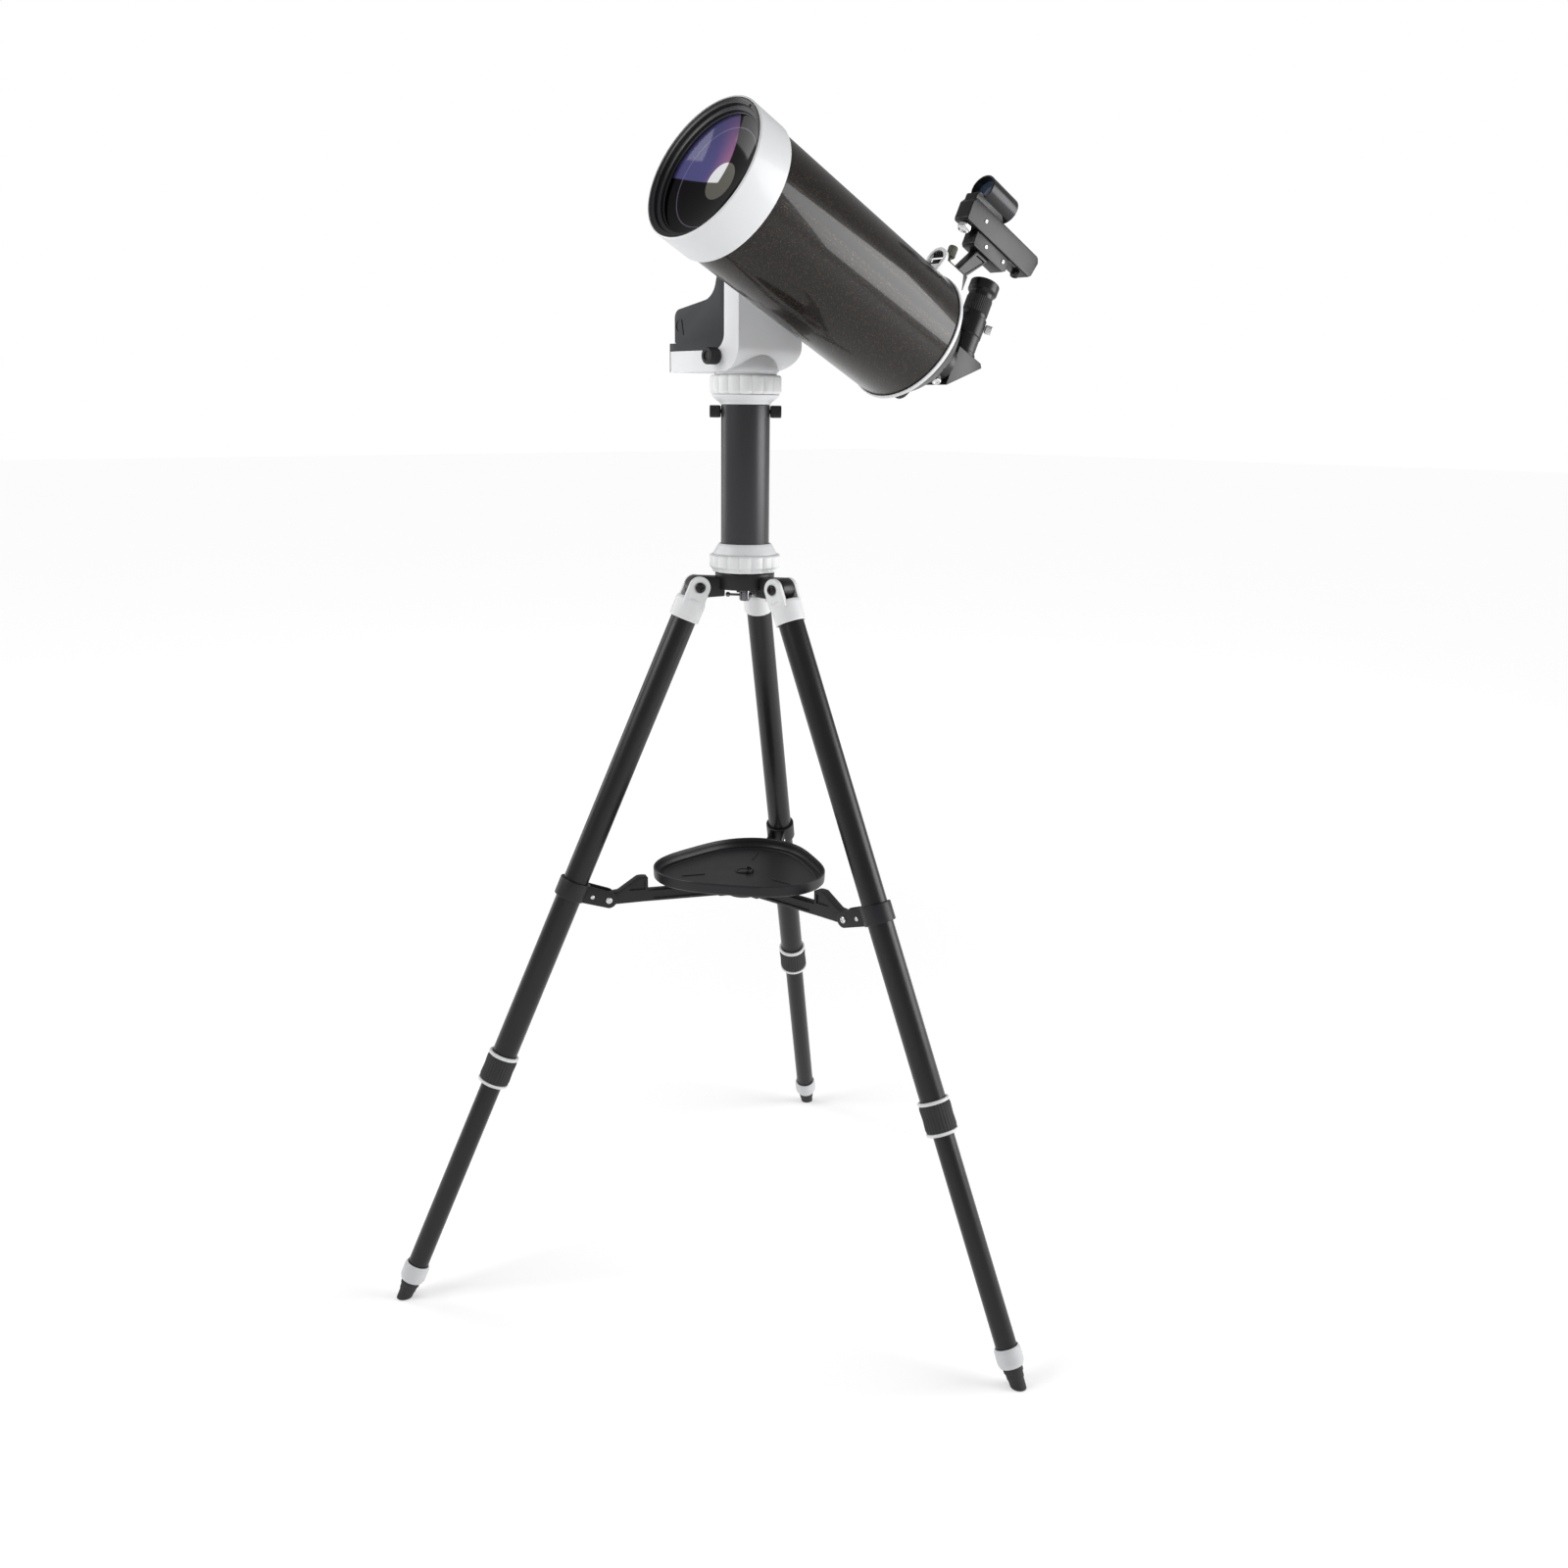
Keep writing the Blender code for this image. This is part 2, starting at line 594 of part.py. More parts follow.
def spreader_hub(spreader):
    top = TRAY_FLOOR_HEIGHT - GAP - SPREADER_HEIGHT
    stud = top + GAP + TRAY_FLOOR + 1
    hub = turned([(0, stud), (TRAY_STUD_RADIUS, stud), (TRAY_STUD_RADIUS, top), (SPREADER_CORE_RADIUS, top),
                  (SPREADER_CORE_RADIUS, -ARM_HALF_HEIGHT - 2), (0, -ARM_HALF_HEIGHT - 2)])
    cheek = [(SPREADER_CORE_RADIUS - 4, -ARM_HALF_HEIGHT), *arc((ARM_INNER_REACH, 0), ARM_HALF_HEIGHT, -90,
                                                                90, 8),
             (SPREADER_CORE_RADIUS - 4, ARM_HALF_HEIGHT)]
    for azimuth in LEG_AZIMUTHS:
        for low, high in ((cheek_inside(), cheek_inside() + ARM_CHEEK), (-cheek_inside() - ARM_CHEEK, -cheek_inside())):
            join(hub, spun(plate(cheek, low, high, "Y"), about_z(azimuth)))
        reach = cheek_inside() + ARM_CHEEK / 2
        pin = cylinder(ARM_PIN_RADIUS, (ARM_INNER_REACH, -reach, 0), (ARM_INNER_REACH, reach, 0), COARSE)
        join(hub, spun(pin, about_z(azimuth)))
    return finish(hub, "spreader_hub", spreader, SATIN_BLACK)


def accessory_tray(spreader):
    low = TRAY_FLOOR_HEIGHT - SPREADER_HEIGHT
    shift = about_z(LEG_AZIMUTHS[0])
    tray = spun(plate(wavy(TRAY_MEAN_RADIUS, TRAY_CORNER, 3, 42), low, low + TRAY_RIM), shift)
    inside = wavy(TRAY_MEAN_RADIUS - TRAY_WALL, TRAY_CORNER, 3, 42)
    hollow = spun(plate(inside, low + TRAY_FLOOR, low + TRAY_RIM + 5), shift)
    hole = cylinder(TRAY_STUD_RADIUS + GAP, (0, 0, low - 5), (0, 0, low + TRAY_FLOOR + 5), COARSE)
    cut(tray, hollow, hole)
    return finish(tray, "accessory_tray", spreader, SATIN_BLACK)


# ---- pillar -------------------------------------------------------------------------------------
def pillar_levels():
    """Heights of the pillar's parts: flange floor, tube foot, tube top, flange top."""
    floor = HUB_TOP + GAP
    foot = floor + PILLAR_SEAT + GAP
    top = foot + PILLAR_LENGTH
    return floor, foot, top, top + GAP + UPPER_FLANGE_HEIGHT


def pillar_lower_flange(base):
    floor, foot, top, shelf = pillar_levels()
    bore = PILLAR_RADIUS + GAP
    high = floor + LOWER_FLANGE_HEIGHT
    seat = floor + PILLAR_SEAT
    bolt = HUB_BOLT_RADIUS + PIN_GAP
    flange = turned([(bore + 2, high), (LOWER_FLANGE_RADIUS, high - 11), (LOWER_FLANGE_RADIUS, floor + 7),
                     (LOWER_FLANGE_RADIUS - 5, floor), (bolt, floor), (bolt, seat), (bore, seat), (bore,
        high)])
    return finish(flange, "pillar_lower_flange", base, WHITE)


def pillar_tube(base):
    floor, foot, top, shelf = pillar_levels()
    inner = PILLAR_RADIUS - PILLAR_WALL
    tube = turned([(PILLAR_RADIUS, top), (PILLAR_RADIUS, foot), (inner, foot), (inner, top)])
    for azimuth in (THUMBSCREW_AZIMUTH, THUMBSCREW_AZIMUTH + 180):
        z = top - THUMBSCREW_DROP
        hole = cylinder(THUMBSCREW_SHANK + PIN_GAP, (inner - 4, 0, z), (PILLAR_RADIUS + 4, 0, z), COARSE)
        cut(tube, spun(hole, about_z(azimuth)))
    return finish(tube, "pillar_tube", base, PILLAR_GREY)


def pillar_clamp_bolt(base):
    floor, foot, top, shelf = pillar_levels()
    head = HUB_TOP - HUB_THICKNESS - GAP
    end = head - 14.5
    bolt = turned([(0, floor + PILLAR_SEAT + 8), (HUB_BOLT_RADIUS - 1, floor + PILLAR_SEAT + 8),
                   (HUB_BOLT_RADIUS, floor + PILLAR_SEAT + 7), (HUB_BOLT_RADIUS, head), (6.2, head), (6.2,
        end + 1),
                   (5.2, end), (0, end)], 24)
    z = end + 6.5
    left = -T_BAR_OFFSET - T_BAR_LENGTH / 2
    right = left + T_BAR_LENGTH
    bar = cylinder(T_BAR_RADIUS, (left, 0, z), (right, 0, z), 12)
    join(bolt, bar, ball(T_BAR_BALL, (left, 0, z)), ball(T_BAR_BALL, (right, 0, z)))
    return finish(bolt, "pillar_clamp_bolt", base, DARK_CHROME, (0, 0, 0), (0, 0, THUMBSCREW_AZIMUTH - 15))


def pillar_upper_flange(base):
    floor, foot, top, shelf = pillar_levels()
    bottom = top + GAP
    spigot = PILLAR_RADIUS - PILLAR_WALL - GAP
    bore = AXLE_SPIGOT_RADIUS + GAP
    low = bottom - SPIGOT_LENGTH
    flange = turned([(UPPER_FLANGE_RADIUS, shelf), (UPPER_FLANGE_RADIUS, shelf - 1.5), (PILLAR_RADIUS + 1.5,
        bottom + 2.5),
                     (PILLAR_RADIUS + 0.8, bottom), (spigot, bottom), (spigot, low), (bore, low), (bore,
        shelf)])
    for azimuth in (THUMBSCREW_AZIMUTH, THUMBSCREW_AZIMUTH + 180):
        z = top - THUMBSCREW_DROP
        hole = cylinder(THUMBSCREW_SHANK + PIN_GAP, (spigot - 7, 0, z), (spigot + 4, 0, z), COARSE)
        cut(flange, spun(hole, about_z(azimuth)))
    return finish(flange, "pillar_upper_flange", base, WHITE)


def knurled(radius, length, shank, reach, steps=20):
    """A thumbscrew along Z: its shank starts at the origin and its head ends at reach + length."""
    edge = 1.0
    return turned([(0, reach + length), (radius - edge, reach + length), (radius, reach + length - edge),
                   (radius, reach + edge), (radius - edge, reach), (shank, reach), (shank, 0), (0, 0)], steps)


def pillar_thumbscrew(name, azimuth, base):
    floor, foot, top, shelf = pillar_levels()
    start = PILLAR_RADIUS - PILLAR_WALL - 5
    screw = knurled(THUMBSCREW_RADIUS, THUMBSCREW_LENGTH, THUMBSCREW_SHANK, PILLAR_RADIUS + GAP - start)
    out = radians(azimuth)
    at = (start * cos(out), start * sin(out), top - THUMBSCREW_DROP)
    return finish(screw, name, base, SATIN_BLACK, at, (0, 90, azimuth))


# ---- head ---------------------------------------------------------------------------------------
def head_levels():
    """Heights in the head: clutch ring foot, drum foot, box floor."""
    floor, foot, top, shelf = pillar_levels()
    ring = shelf + GAP
    drum = ring + CLUTCH_HEIGHT + GAP
    return ring, drum, drum + DRUM_PLATE


def azimuth_clutch_ring(head):
    ring, drum, box = head_levels()
    clutch = plate(wavy(CLUTCH_RADIUS - 0.7, 0.7, CLUTCH_LOBES, 80), ring, ring + CLUTCH_HEIGHT)
    cut(clutch, cylinder(AXLE_RADIUS + GAP, (0, 0, ring - 5), (0, 0, drum + 5)))
    return finish(clutch, "azimuth_clutch_ring", head, WHITE)


def azimuth_wheel_z():
    ring, drum, box = head_levels()
    return box + BODY_WALL + 4.5


def azimuth_axle(base):
    ring, drum, box = head_levels()
    wheel = azimuth_wheel_z()
    high = wheel + WORM_WHEEL_HEIGHT
    low = ring - UPPER_FLANGE_HEIGHT - 12
    axle = turned([(0, high + 6), (AXLE_SPIGOT_RADIUS, high + 6), (AXLE_SPIGOT_RADIUS, high),
                   (WORM_WHEEL_RADIUS, high),
                   (WORM_WHEEL_RADIUS - 0.8, (wheel + high) / 2), (WORM_WHEEL_RADIUS, wheel),
                   (AXLE_RADIUS, wheel), (AXLE_RADIUS, ring), (AXLE_SPIGOT_RADIUS,
                                                               ring), (AXLE_SPIGOT_RADIUS, low),
                   (0, low)])
    return finish(axle, "azimuth_axle", base, BRASS)


def side_outline(inset):
    """The arm seen from the side, as (y, z)."""
    ring, drum, box = head_levels()
    front = BODY_FRONT + inset
    back = BODY_BACK - inset
    low = box + inset
    corner = ARM_CORNER - inset
    top = ARM_TOP_RADIUS - inset
    outline = [(front, low)]
    outline += arc((back - corner, low + corner), corner, -90, 0, 6)
    outline += arc((ALTITUDE_Y, ALTITUDE_Z), top, 0, 180, 20)
    return outline


def arm_outline(inset, open_side):
    """The white L seen from the front, as (x, z); its open side is where the dark cover meets it."""
    ring, drum, box = head_levels()
    right = ARM_OUTER - inset
    low = box + inset
    corner = ARM_CORNER - inset
    high = ALTITUDE_Z + ARM_TOP_RADIUS + 5
    bend = 18.0 + open_side
    left = BOX_END + inset
    step = box + BOX_HEIGHT + open_side
    inner = ARM_INNER - open_side
    outline = [(left, low)]
    outline += arc((right - corner, low + corner), corner, -90, 0, 8)
    outline += [(right, high), (inner, high)]
    outline += arc((inner - bend, step + bend), bend, 0, -90, 8)
    outline += [(left, step)]
    return outline


def head_body(head):
    ring, drum, box = head_levels()
    body = plate(arm_outline(0, 0), BODY_FRONT, BODY_BACK, "Y")
    shared(body, plate(side_outline(0), BOX_END - 10, ARM_OUTER + 10, "X"))
    base = turned([(0, drum + BOSS_HEIGHT), (BOSS_TOP_RADIUS, drum + BOSS_HEIGHT), (DRUM_RADIUS,
        drum + DRUM_PLATE + 4),
                   (DRUM_RADIUS, drum + DRUM_PLATE), (DRUM_RADIUS - 1.8, drum + DRUM_PLATE),
                   (DRUM_RADIUS - 1.8, drum), (0, drum)])
    join(body, base)
    cavity = plate(arm_outline(BODY_WALL, 2), BODY_FRONT + BODY_WALL, BODY_BACK - BODY_WALL, "Y")
    shared(cavity, plate(side_outline(BODY_WALL), BOX_END - 10, ARM_OUTER + 10, "X"))
    cut(body, cavity)
    room = WORM_WHEEL_RADIUS + 1.5
    cut(body, cylinder(room, (0, 0, box + BODY_WALL), (0, 0, drum + BOSS_HEIGHT + 3)),
        cylinder(AXLE_RADIUS + GAP, (0, 0, drum - 5), (0, 0, box + 10)),
        cylinder(ALT_AXLE_RADIUS + GAP, (ARM_INNER, ALTITUDE_Y, ALTITUDE_Z), (ARM_OUTER + 5, ALTITUDE_Y,
        ALTITUDE_Z)))
    x, z = cover_screw_place()
    cut(body, cylinder(THUMBSCREW_SHANK + PIN_GAP, (x, BODY_FRONT - 5, z), (x, BODY_FRONT + BODY_WALL + 1,
        z), COARSE))
    return finish(body, "head_body", head, WHITE)


def cover_outline(inset):
    """The dark cover seen from the front, as (x, z)."""
    ring, drum, box = head_levels()
    high = ALTITUDE_Z + ARM_TOP_RADIUS + 5
    right = ARM_INNER - GAP + (10 if inset else 0)
    step = box + BOX_HEIGHT + GAP - (1 if inset else 0)
    bend = 18.0
    shoulder = box + COVER_SHOULDER
    side = COVER_SIDE + inset
    back = COVER_BACK + inset
    outline = [(right, high)]
    if inset:
        outline += [(right, step)]
    else:
        outline += arc((right - bend, step + bend), bend, 0, -90, 8)
    outline += [(side, step), (side, shoulder - 3 - inset)]
    outline += arc((side + 10, shoulder - 3 - inset), 10, 180, 105, 5)
    outline += [(-46, shoulder + 11.5 - inset)]
    outline += arc((back - 24, shoulder + 38 - inset), 24 + inset, -75, 0, 7)
    outline += [(back, high)]
    return outline


def battery_cover(head):
    ring, drum, box = head_levels()
    front = BODY_FRONT + 0.4
    back = BODY_BACK - 0.4
    cover = plate(cover_outline(0), front, back, "Y")
    shared(cover, plate(side_outline(0.4), BOX_END - 10, ARM_OUTER + 10, "X"))
    step = box + BOX_HEIGHT + GAP
    end = BOX_END - GAP
    lip = block((end - COVER_LIP, front, box), (end, back, step + 8.5))
    ledge = block((end - COVER_LIP / 2, front, step), (COVER_SIDE + 6, back, step + 8.5))
    join(cover, lip, ledge)
    hollow = plate(cover_outline(COVER_WALL), front + COVER_WALL, back - COVER_WALL, "Y")
    shared(hollow, plate(side_outline(0.4 + COVER_WALL), BOX_END - 10, ARM_OUTER + 10, "X"))
    cut(cover, hollow)
    return finish(cover, "battery_cover", head, SLATE)


def cover_screw_place():
    ring, drum, box = head_levels()
    return -6.0, box + 16.5


def cover_lock_screw(head):
    x, z = cover_screw_place()
    reach = BODY_WALL + GAP + 4
    screw = knurled(9.2, 14.5, THUMBSCREW_SHANK, reach)
    return finish(screw, "cover_lock_screw", head, SATIN_BLACK, (x, BODY_FRONT + BODY_WALL + 4, z), (90, 0,
        0))


def battery_pack(head):
    """Two rows of cells held in one carrier."""
    ring, drum, box = head_levels()
    pitch = 2 * CELL_RADIUS + 0.5
    low = box + BOX_HEIGHT + 2 + CELL_RADIUS
    left = COVER_SIDE + COVER_WALL + 1.5 + CELL_RADIUS
    front = CELL_BACK - CELL_LENGTH
    right = left + (CELL_COLUMNS - 1) * pitch
    pack = block((left - 4, front + 4, low - 4), (right + 4, CELL_BACK - 4, low + pitch + 4))
    for row in range(2):
        for column in range(CELL_COLUMNS):
            x = left + column * pitch
            z = low + row * pitch
            nub = front - 1.2 if (row + column) % 2 else CELL_BACK + 1.2
            join(pack, cylinder(CELL_RADIUS, (x, front, z), (x, CELL_BACK, z), 10),
                 cylinder(2.6, (x, (front + CELL_BACK) / 2, z), (x, nub, z), 8))
    return finish(pack, "battery_pack", head, STEEL)


def motor(origin, direction):
    """A gear motor whose worm starts at the origin and runs along the direction."""
    def station(distance):
        return Vector(origin) + Vector(direction) * distance
    body = cylinder(MOTOR_RADIUS, station(-WORM_NECK - MOTOR_LENGTH), station(-WORM_NECK), 20)
    return join(body, cylinder(1.5, station(-WORM_NECK - 1), station(1), 12),
                cylinder(WORM_RADIUS, station(0), station(WORM_LENGTH), COARSE))


def drive_unit(head):
    """Both gear motors on the chassis that holds them."""
    ring, drum, box = head_levels()
    level = azimuth_wheel_z() + WORM_WHEEL_HEIGHT / 2
    reach = WORM_WHEEL_RADIUS + WORM_RADIUS + 0.5
    azimuth = motor((-reach, 3, level), (0, -1, 0))
    x = alt_wheel_x() + ALT_WHEEL_WIDTH / 2
    y = ALTITUDE_Y + ALT_WHEEL_RADIUS + WORM_RADIUS + 0.5
    altitude = motor((x, y, ALTITUDE_Z - 10), (0, 0, 1))
    shelf = block((-reach - 4, 27, level + 4), (x + 3, 43, level + 9))
    post = block((x - 3, 38, level + 4), (x + 3, 43, ALTITUDE_Z - 20))
    join(azimuth, altitude, shelf, post)
    return finish(azimuth, "drive_unit", head, STEEL)


# ---- altitude bearing and saddle: frame with X along the axle, Y up from the tube, Z to the front ----
def alt_wheel_x():
    return ARM_INNER + 5.5


def knob_x():
    return ARM_OUTER + 0.6


def saddle_x():
    return knob_x() + ALT_KNOB_WIDTH + GAP


def altitude_axle(swing):
    start = alt_wheel_x()
    end = saddle_x() - GAP
    axle = turned([(0, end), (ALT_AXLE_RADIUS, end), (ALT_AXLE_RADIUS, start + ALT_WHEEL_WIDTH),
                   (ALT_WHEEL_RADIUS, start + ALT_WHEEL_WIDTH), (ALT_WHEEL_RADIUS - 0.8,
                                                                 start + ALT_WHEEL_WIDTH / 2),
                   (ALT_WHEEL_RADIUS, start), (0, start)])
    return finish(axle, "altitude_axle", swing, BRASS, (0, 0, 0), (0, 90, 0))


def altitude_clutch_knob(swing):
    knob = plate(wavy(ALT_KNOB_RADIUS - 1.2, 1.2, 10, 40), 0, ALT_KNOB_WIDTH)
    cut(knob, cylinder(ALT_AXLE_RADIUS + GAP, (0, 0, -5), (0, 0, ALT_KNOB_WIDTH + 5)))
    return finish(knob, "altitude_clutch_knob", swing, WHITE, (knob_x(), 0, 0), (0, 90, 0))


def dovetail_face():
    """The saddle's face, which the dovetail bar's back lies on."""
    return saddle_x() + SADDLE_BASE


def dovetail_saddle(swing):
    x = saddle_x()
    face = dovetail_face()
    top = face + DOVETAIL_DEPTH
    half = SADDLE_LENGTH / 2
    low = DOVETAIL_HALF + GAP
    neck = DOVETAIL_NECK + GAP
    wall = DOVETAIL_HALF + JAW_WIDTH + JAW_TRAVEL + 2
    outline = [(x, -low - 9), (top, -low - 9), (top, -neck), (face, -low), (face, wall), (top, wall),
               (top, wall + SADDLE_WALL), (x, wall + SADDLE_WALL)]
    saddle = plate(outline, -half, half, "Z")
    screw = cylinder(3 + PIN_GAP, (face + 4, wall - 5, 0), (face + 4, wall + SADDLE_WALL + 5, 0), COARSE)
    cut(saddle, screw)
    return finish(saddle, "dovetail_saddle", swing, WHITE)


def saddle_jaw(swing):
    face = dovetail_face() + GAP
    top = dovetail_face() + DOVETAIL_DEPTH
    low = DOVETAIL_HALF + GAP
    neck = DOVETAIL_NECK + GAP
    outline = [(face, low), (top, neck), (top, low + JAW_WIDTH), (face, low + JAW_WIDTH)]
    jaw = plate(outline, -22, 22, "Z")
    cut(jaw, cylinder(3 + PIN_GAP, (face + 4 - GAP, low + 1.5, 0), (face + 4 - GAP, low + JAW_WIDTH + 5, 0),
                      COARSE))
    return finish(jaw, "saddle_jaw", swing, STEEL)


def saddle_clamp_knob(swing):
    start = DOVETAIL_HALF + GAP + 1.5 + JAW_TRAVEL + 0.5
    wall = DOVETAIL_HALF + JAW_WIDTH + JAW_TRAVEL + 2 + SADDLE_WALL
    screw = knurled(CLAMP_KNOB_RADIUS, 19, 3.0, wall + GAP - start, 20)
    return finish(screw, "saddle_clamp_knob", swing, SATIN_BLACK, (dovetail_face() + 4, start, 0), (-90, 0,
        0))


# ---- telescope: stations run along Z of the swing frame ---------------------------------------------
def dovetail_bar(swing):
    face = dovetail_face() + GAP
    top = dovetail_face() + DOVETAIL_DEPTH
    near = TUBE_OFFSET - sqrt(TUBE_RADIUS ** 2 - DOVETAIL_NECK ** 2) + 2
    outline = [(face, -DOVETAIL_HALF), (top, -DOVETAIL_NECK), (near, -DOVETAIL_NECK), (near, DOVETAIL_NECK),
               (top, DOVETAIL_NECK), (face, DOVETAIL_HALF)]
    middle = (CELL_REAR + REAR_RING_FRONT) / 2
    bar = plate(outline, middle - DOVETAIL_LENGTH / 2, middle + DOVETAIL_LENGTH / 2, "Z")
    cut(bar, cylinder(TUBE_RADIUS + GAP, (TUBE_OFFSET, 0, -200), (TUBE_OFFSET, 0, 200), FINE))
    return finish(bar, "dovetail_bar", swing, SATIN_BLACK)


def optical_tube(swing):
    inner = TUBE_RADIUS - TUBE_WALL
    tube = turned([(TUBE_RADIUS, TUBE_FRONT), (TUBE_RADIUS, TUBE_REAR), (inner, TUBE_REAR), (inner,
        TUBE_FRONT)], FINE)
    return finish(tube, "optical_tube", swing, TUBE_BLACK, (TUBE_OFFSET, 0, 0))


def lens_sag(radius):
    return radius ** 2 / (2 * LENS_CURVE)


def lens_edge_front():
    return CELL_FRONT - 13.5


def front_cell(swing):
    seat = TUBE_RADIUS + GAP
    lens = LENS_RADIUS + GAP
    stop = LENS_RADIUS - 2.8
    back = lens_edge_front() - LENS_EDGE
    ring = CELL_OUTER - CELL_LIP
    shelf = TUBE_FRONT + GAP
    cell = turned([(CELL_OUTER - 0.7, CELL_FRONT), (CELL_OUTER, CELL_FRONT - 0.9), (CELL_OUTER,
        CELL_REAR + 1),
                   (CELL_OUTER - 1, CELL_REAR), (seat, CELL_REAR), (seat, shelf), (stop, shelf),
                   (stop, back - 1.5), (lens, back - 0.4), (lens, lens_edge_front() + GAP),
                   (ring, lens_edge_front() + GAP), (ring, CELL_FRONT)], FINE)
    return finish(cell, "front_cell", swing, WHITE, (TUBE_OFFSET, 0, 0))


def corrector_ring(swing):
    outer = CELL_OUTER - CELL_LIP - GAP
    inner = LENS_RADIUS - 4
    low = lens_edge_front() + 2 * GAP
    ring = turned([(outer - 0.6, CELL_FRONT - 0.4), (outer, CELL_FRONT - 1), (outer, low), (inner, low),
                   (inner, low + 1.5), (inner + 5.5, CELL_FRONT - 2.5), (outer - 3, CELL_FRONT - 0.4)], FINE)
    return finish(ring, "corrector_retaining_ring", swing, SATIN_BLACK, (TUBE_OFFSET, 0, 0))


def corrector_lens(swing):
    front = lens_edge_front() - lens_sag(LENS_RADIUS)
    rings = [LENS_RADIUS * i / 3 for i in range(4)]
    profile = [(r, front + lens_sag(r)) for r in rings]
    profile += [(r, front + lens_sag(r) - LENS_EDGE) for r in reversed(rings)]
    return finish(turned(profile, 48), "corrector_lens", swing, GLASS, (TUBE_OFFSET, 0, 0))


def primary_mirror(swing):
    bore = BAFFLE_RADIUS + 0.5
    rings = [bore + (MIRROR_RADIUS - bore) * i / 2 for i in range(3)]
    profile = [(r, MIRROR_FRONT - MIRROR_DISH * (1 - (r / MIRROR_RADIUS) ** 2)) for r in rings]
    profile += [(MIRROR_RADIUS, MIRROR_FRONT - MIRROR_THICKNESS), (bore, MIRROR_FRONT - MIRROR_THICKNESS)]
    return finish(turned(profile, 48), "primary_mirror", swing, MIRROR, (TUBE_OFFSET, 0, 0))


def rear_cell(swing):
    """The rear cell with the baffle tube screwed into it, which the mirror slides on."""
    seat = TUBE_RADIUS + GAP
    floor = REAR_CELL_BACK + REAR_CELL_FLOOR
    outer_wall = [(TUBE_RADIUS - inset, station) for inset, station in REAR_CELL_OUTER]
    inner_wall = [(TUBE_RADIUS - inset, station) for inset, station in REAR_CELL_INNER]
    cell = turned([(REAR_RING_RADIUS, REAR_RING_FRONT), (REAR_RING_RADIUS, REAR_RING_FRONT - REAR_RING_WIDTH),
                   *outer_wall, (BAFFLE_BORE, REAR_CELL_BACK), (BAFFLE_BORE, floor), *inner_wall,
                   (seat, TUBE_REAR - GAP), (seat, REAR_RING_FRONT)], FINE)
    mid = MIRROR_FRONT + 30
    baffle = turned([(BAFFLE_RADIUS - 3, BAFFLE_FRONT), (BAFFLE_RADIUS, mid), (BAFFLE_RADIUS, floor - 1),
                     (BAFFLE_BORE, floor - 1), (BAFFLE_BORE, mid), (BAFFLE_RADIUS - 4.2, BAFFLE_FRONT)])
    x, y = FOCUS_KNOB
    inner, outer = FOCUS_BOSS
    join(cell, baffle, cylinder(FOCUS_BOSS_RADIUS, (x, y, inner), (x, y, outer), COARSE))
    cut(cell, cylinder(3 + PIN_GAP, (x, y, inner + 5), (x, y, outer - 5), COARSE))
    return finish(cell, "rear_cell", swing, SATIN_BLACK, (TUBE_OFFSET, 0, 0))


def focus_knob(swing):
    x, y = FOCUS_KNOB
    start = MIRROR_FRONT - MIRROR_THICKNESS - 9
    knob = knurled(FOCUS_KNOB_RADIUS, FOCUS_KNOB_LENGTH, 3.0, start - FOCUS_BOSS[1] + GAP)
    return finish(knob, "focus_knob", swing, SATIN_BLACK, (TUBE_OFFSET + x, y, start), (180, 0, 0))


def visual_back(swing):
    bore = NOSE_RADIUS + GAP
    start = REAR_CELL_BACK - GAP
    back = turned([(VISUAL_BACK_FLANGE, start), (VISUAL_BACK_FLANGE, start - 5), (VISUAL_BACK_RADIUS,
        start - 7),
                   (VISUAL_BACK_RADIUS, VISUAL_BACK_END), (bore, VISUAL_BACK_END), (bore, start)])
    hole = cylinder(SET_SCREW_SHANK + PIN_GAP, (bore - 4, 0, VISUAL_SCREW_STATION),
                    (VISUAL_BACK_RADIUS + 5, 0, VISUAL_SCREW_STATION), COARSE)
    cut(back, spun(hole, about_z(VISUAL_SCREW_TURN)))
    return finish(back, "visual_back", swing, SATIN_BLACK, (TUBE_OFFSET, 0, 0))


def visual_back_screw(swing):
    start = NOSE_RADIUS + 2 * GAP
    screw = knurled(SET_SCREW_RADIUS, SET_SCREW_LENGTH, SET_SCREW_SHANK, VISUAL_BACK_RADIUS + GAP - start,
                    COARSE)
    out = radians(VISUAL_SCREW_TURN)
    at = (TUBE_OFFSET + start * cos(out), start * sin(out), VISUAL_SCREW_STATION)
    return finish(screw, "visual_back_screw", swing, STEEL, at, (0, 90, VISUAL_SCREW_TURN))


def diagonal_outline(inset):
    """The star diagonal seen from the side, as (y, z) about the crossing of its axes."""
    slant = inset * sqrt(2)
    top = DIAGONAL_TOP - inset
    front = DIAGONAL_FRONT - inset
    corner = DIAGONAL_TOP - 4 + DIAGONAL_BACK
    total = DIAGONAL_TOP - 4 - DIAGONAL_BACK + slant
    spread = corner - slant
    outline = [(top, front), (top, top - spread), ((total + spread) / 2, (total - spread) / 2)]
    low = -DIAGONAL_BOTTOM
    if inset:
        return outline + [(total - front, front)]
    return outline + [(low, total - low), (low, front)]


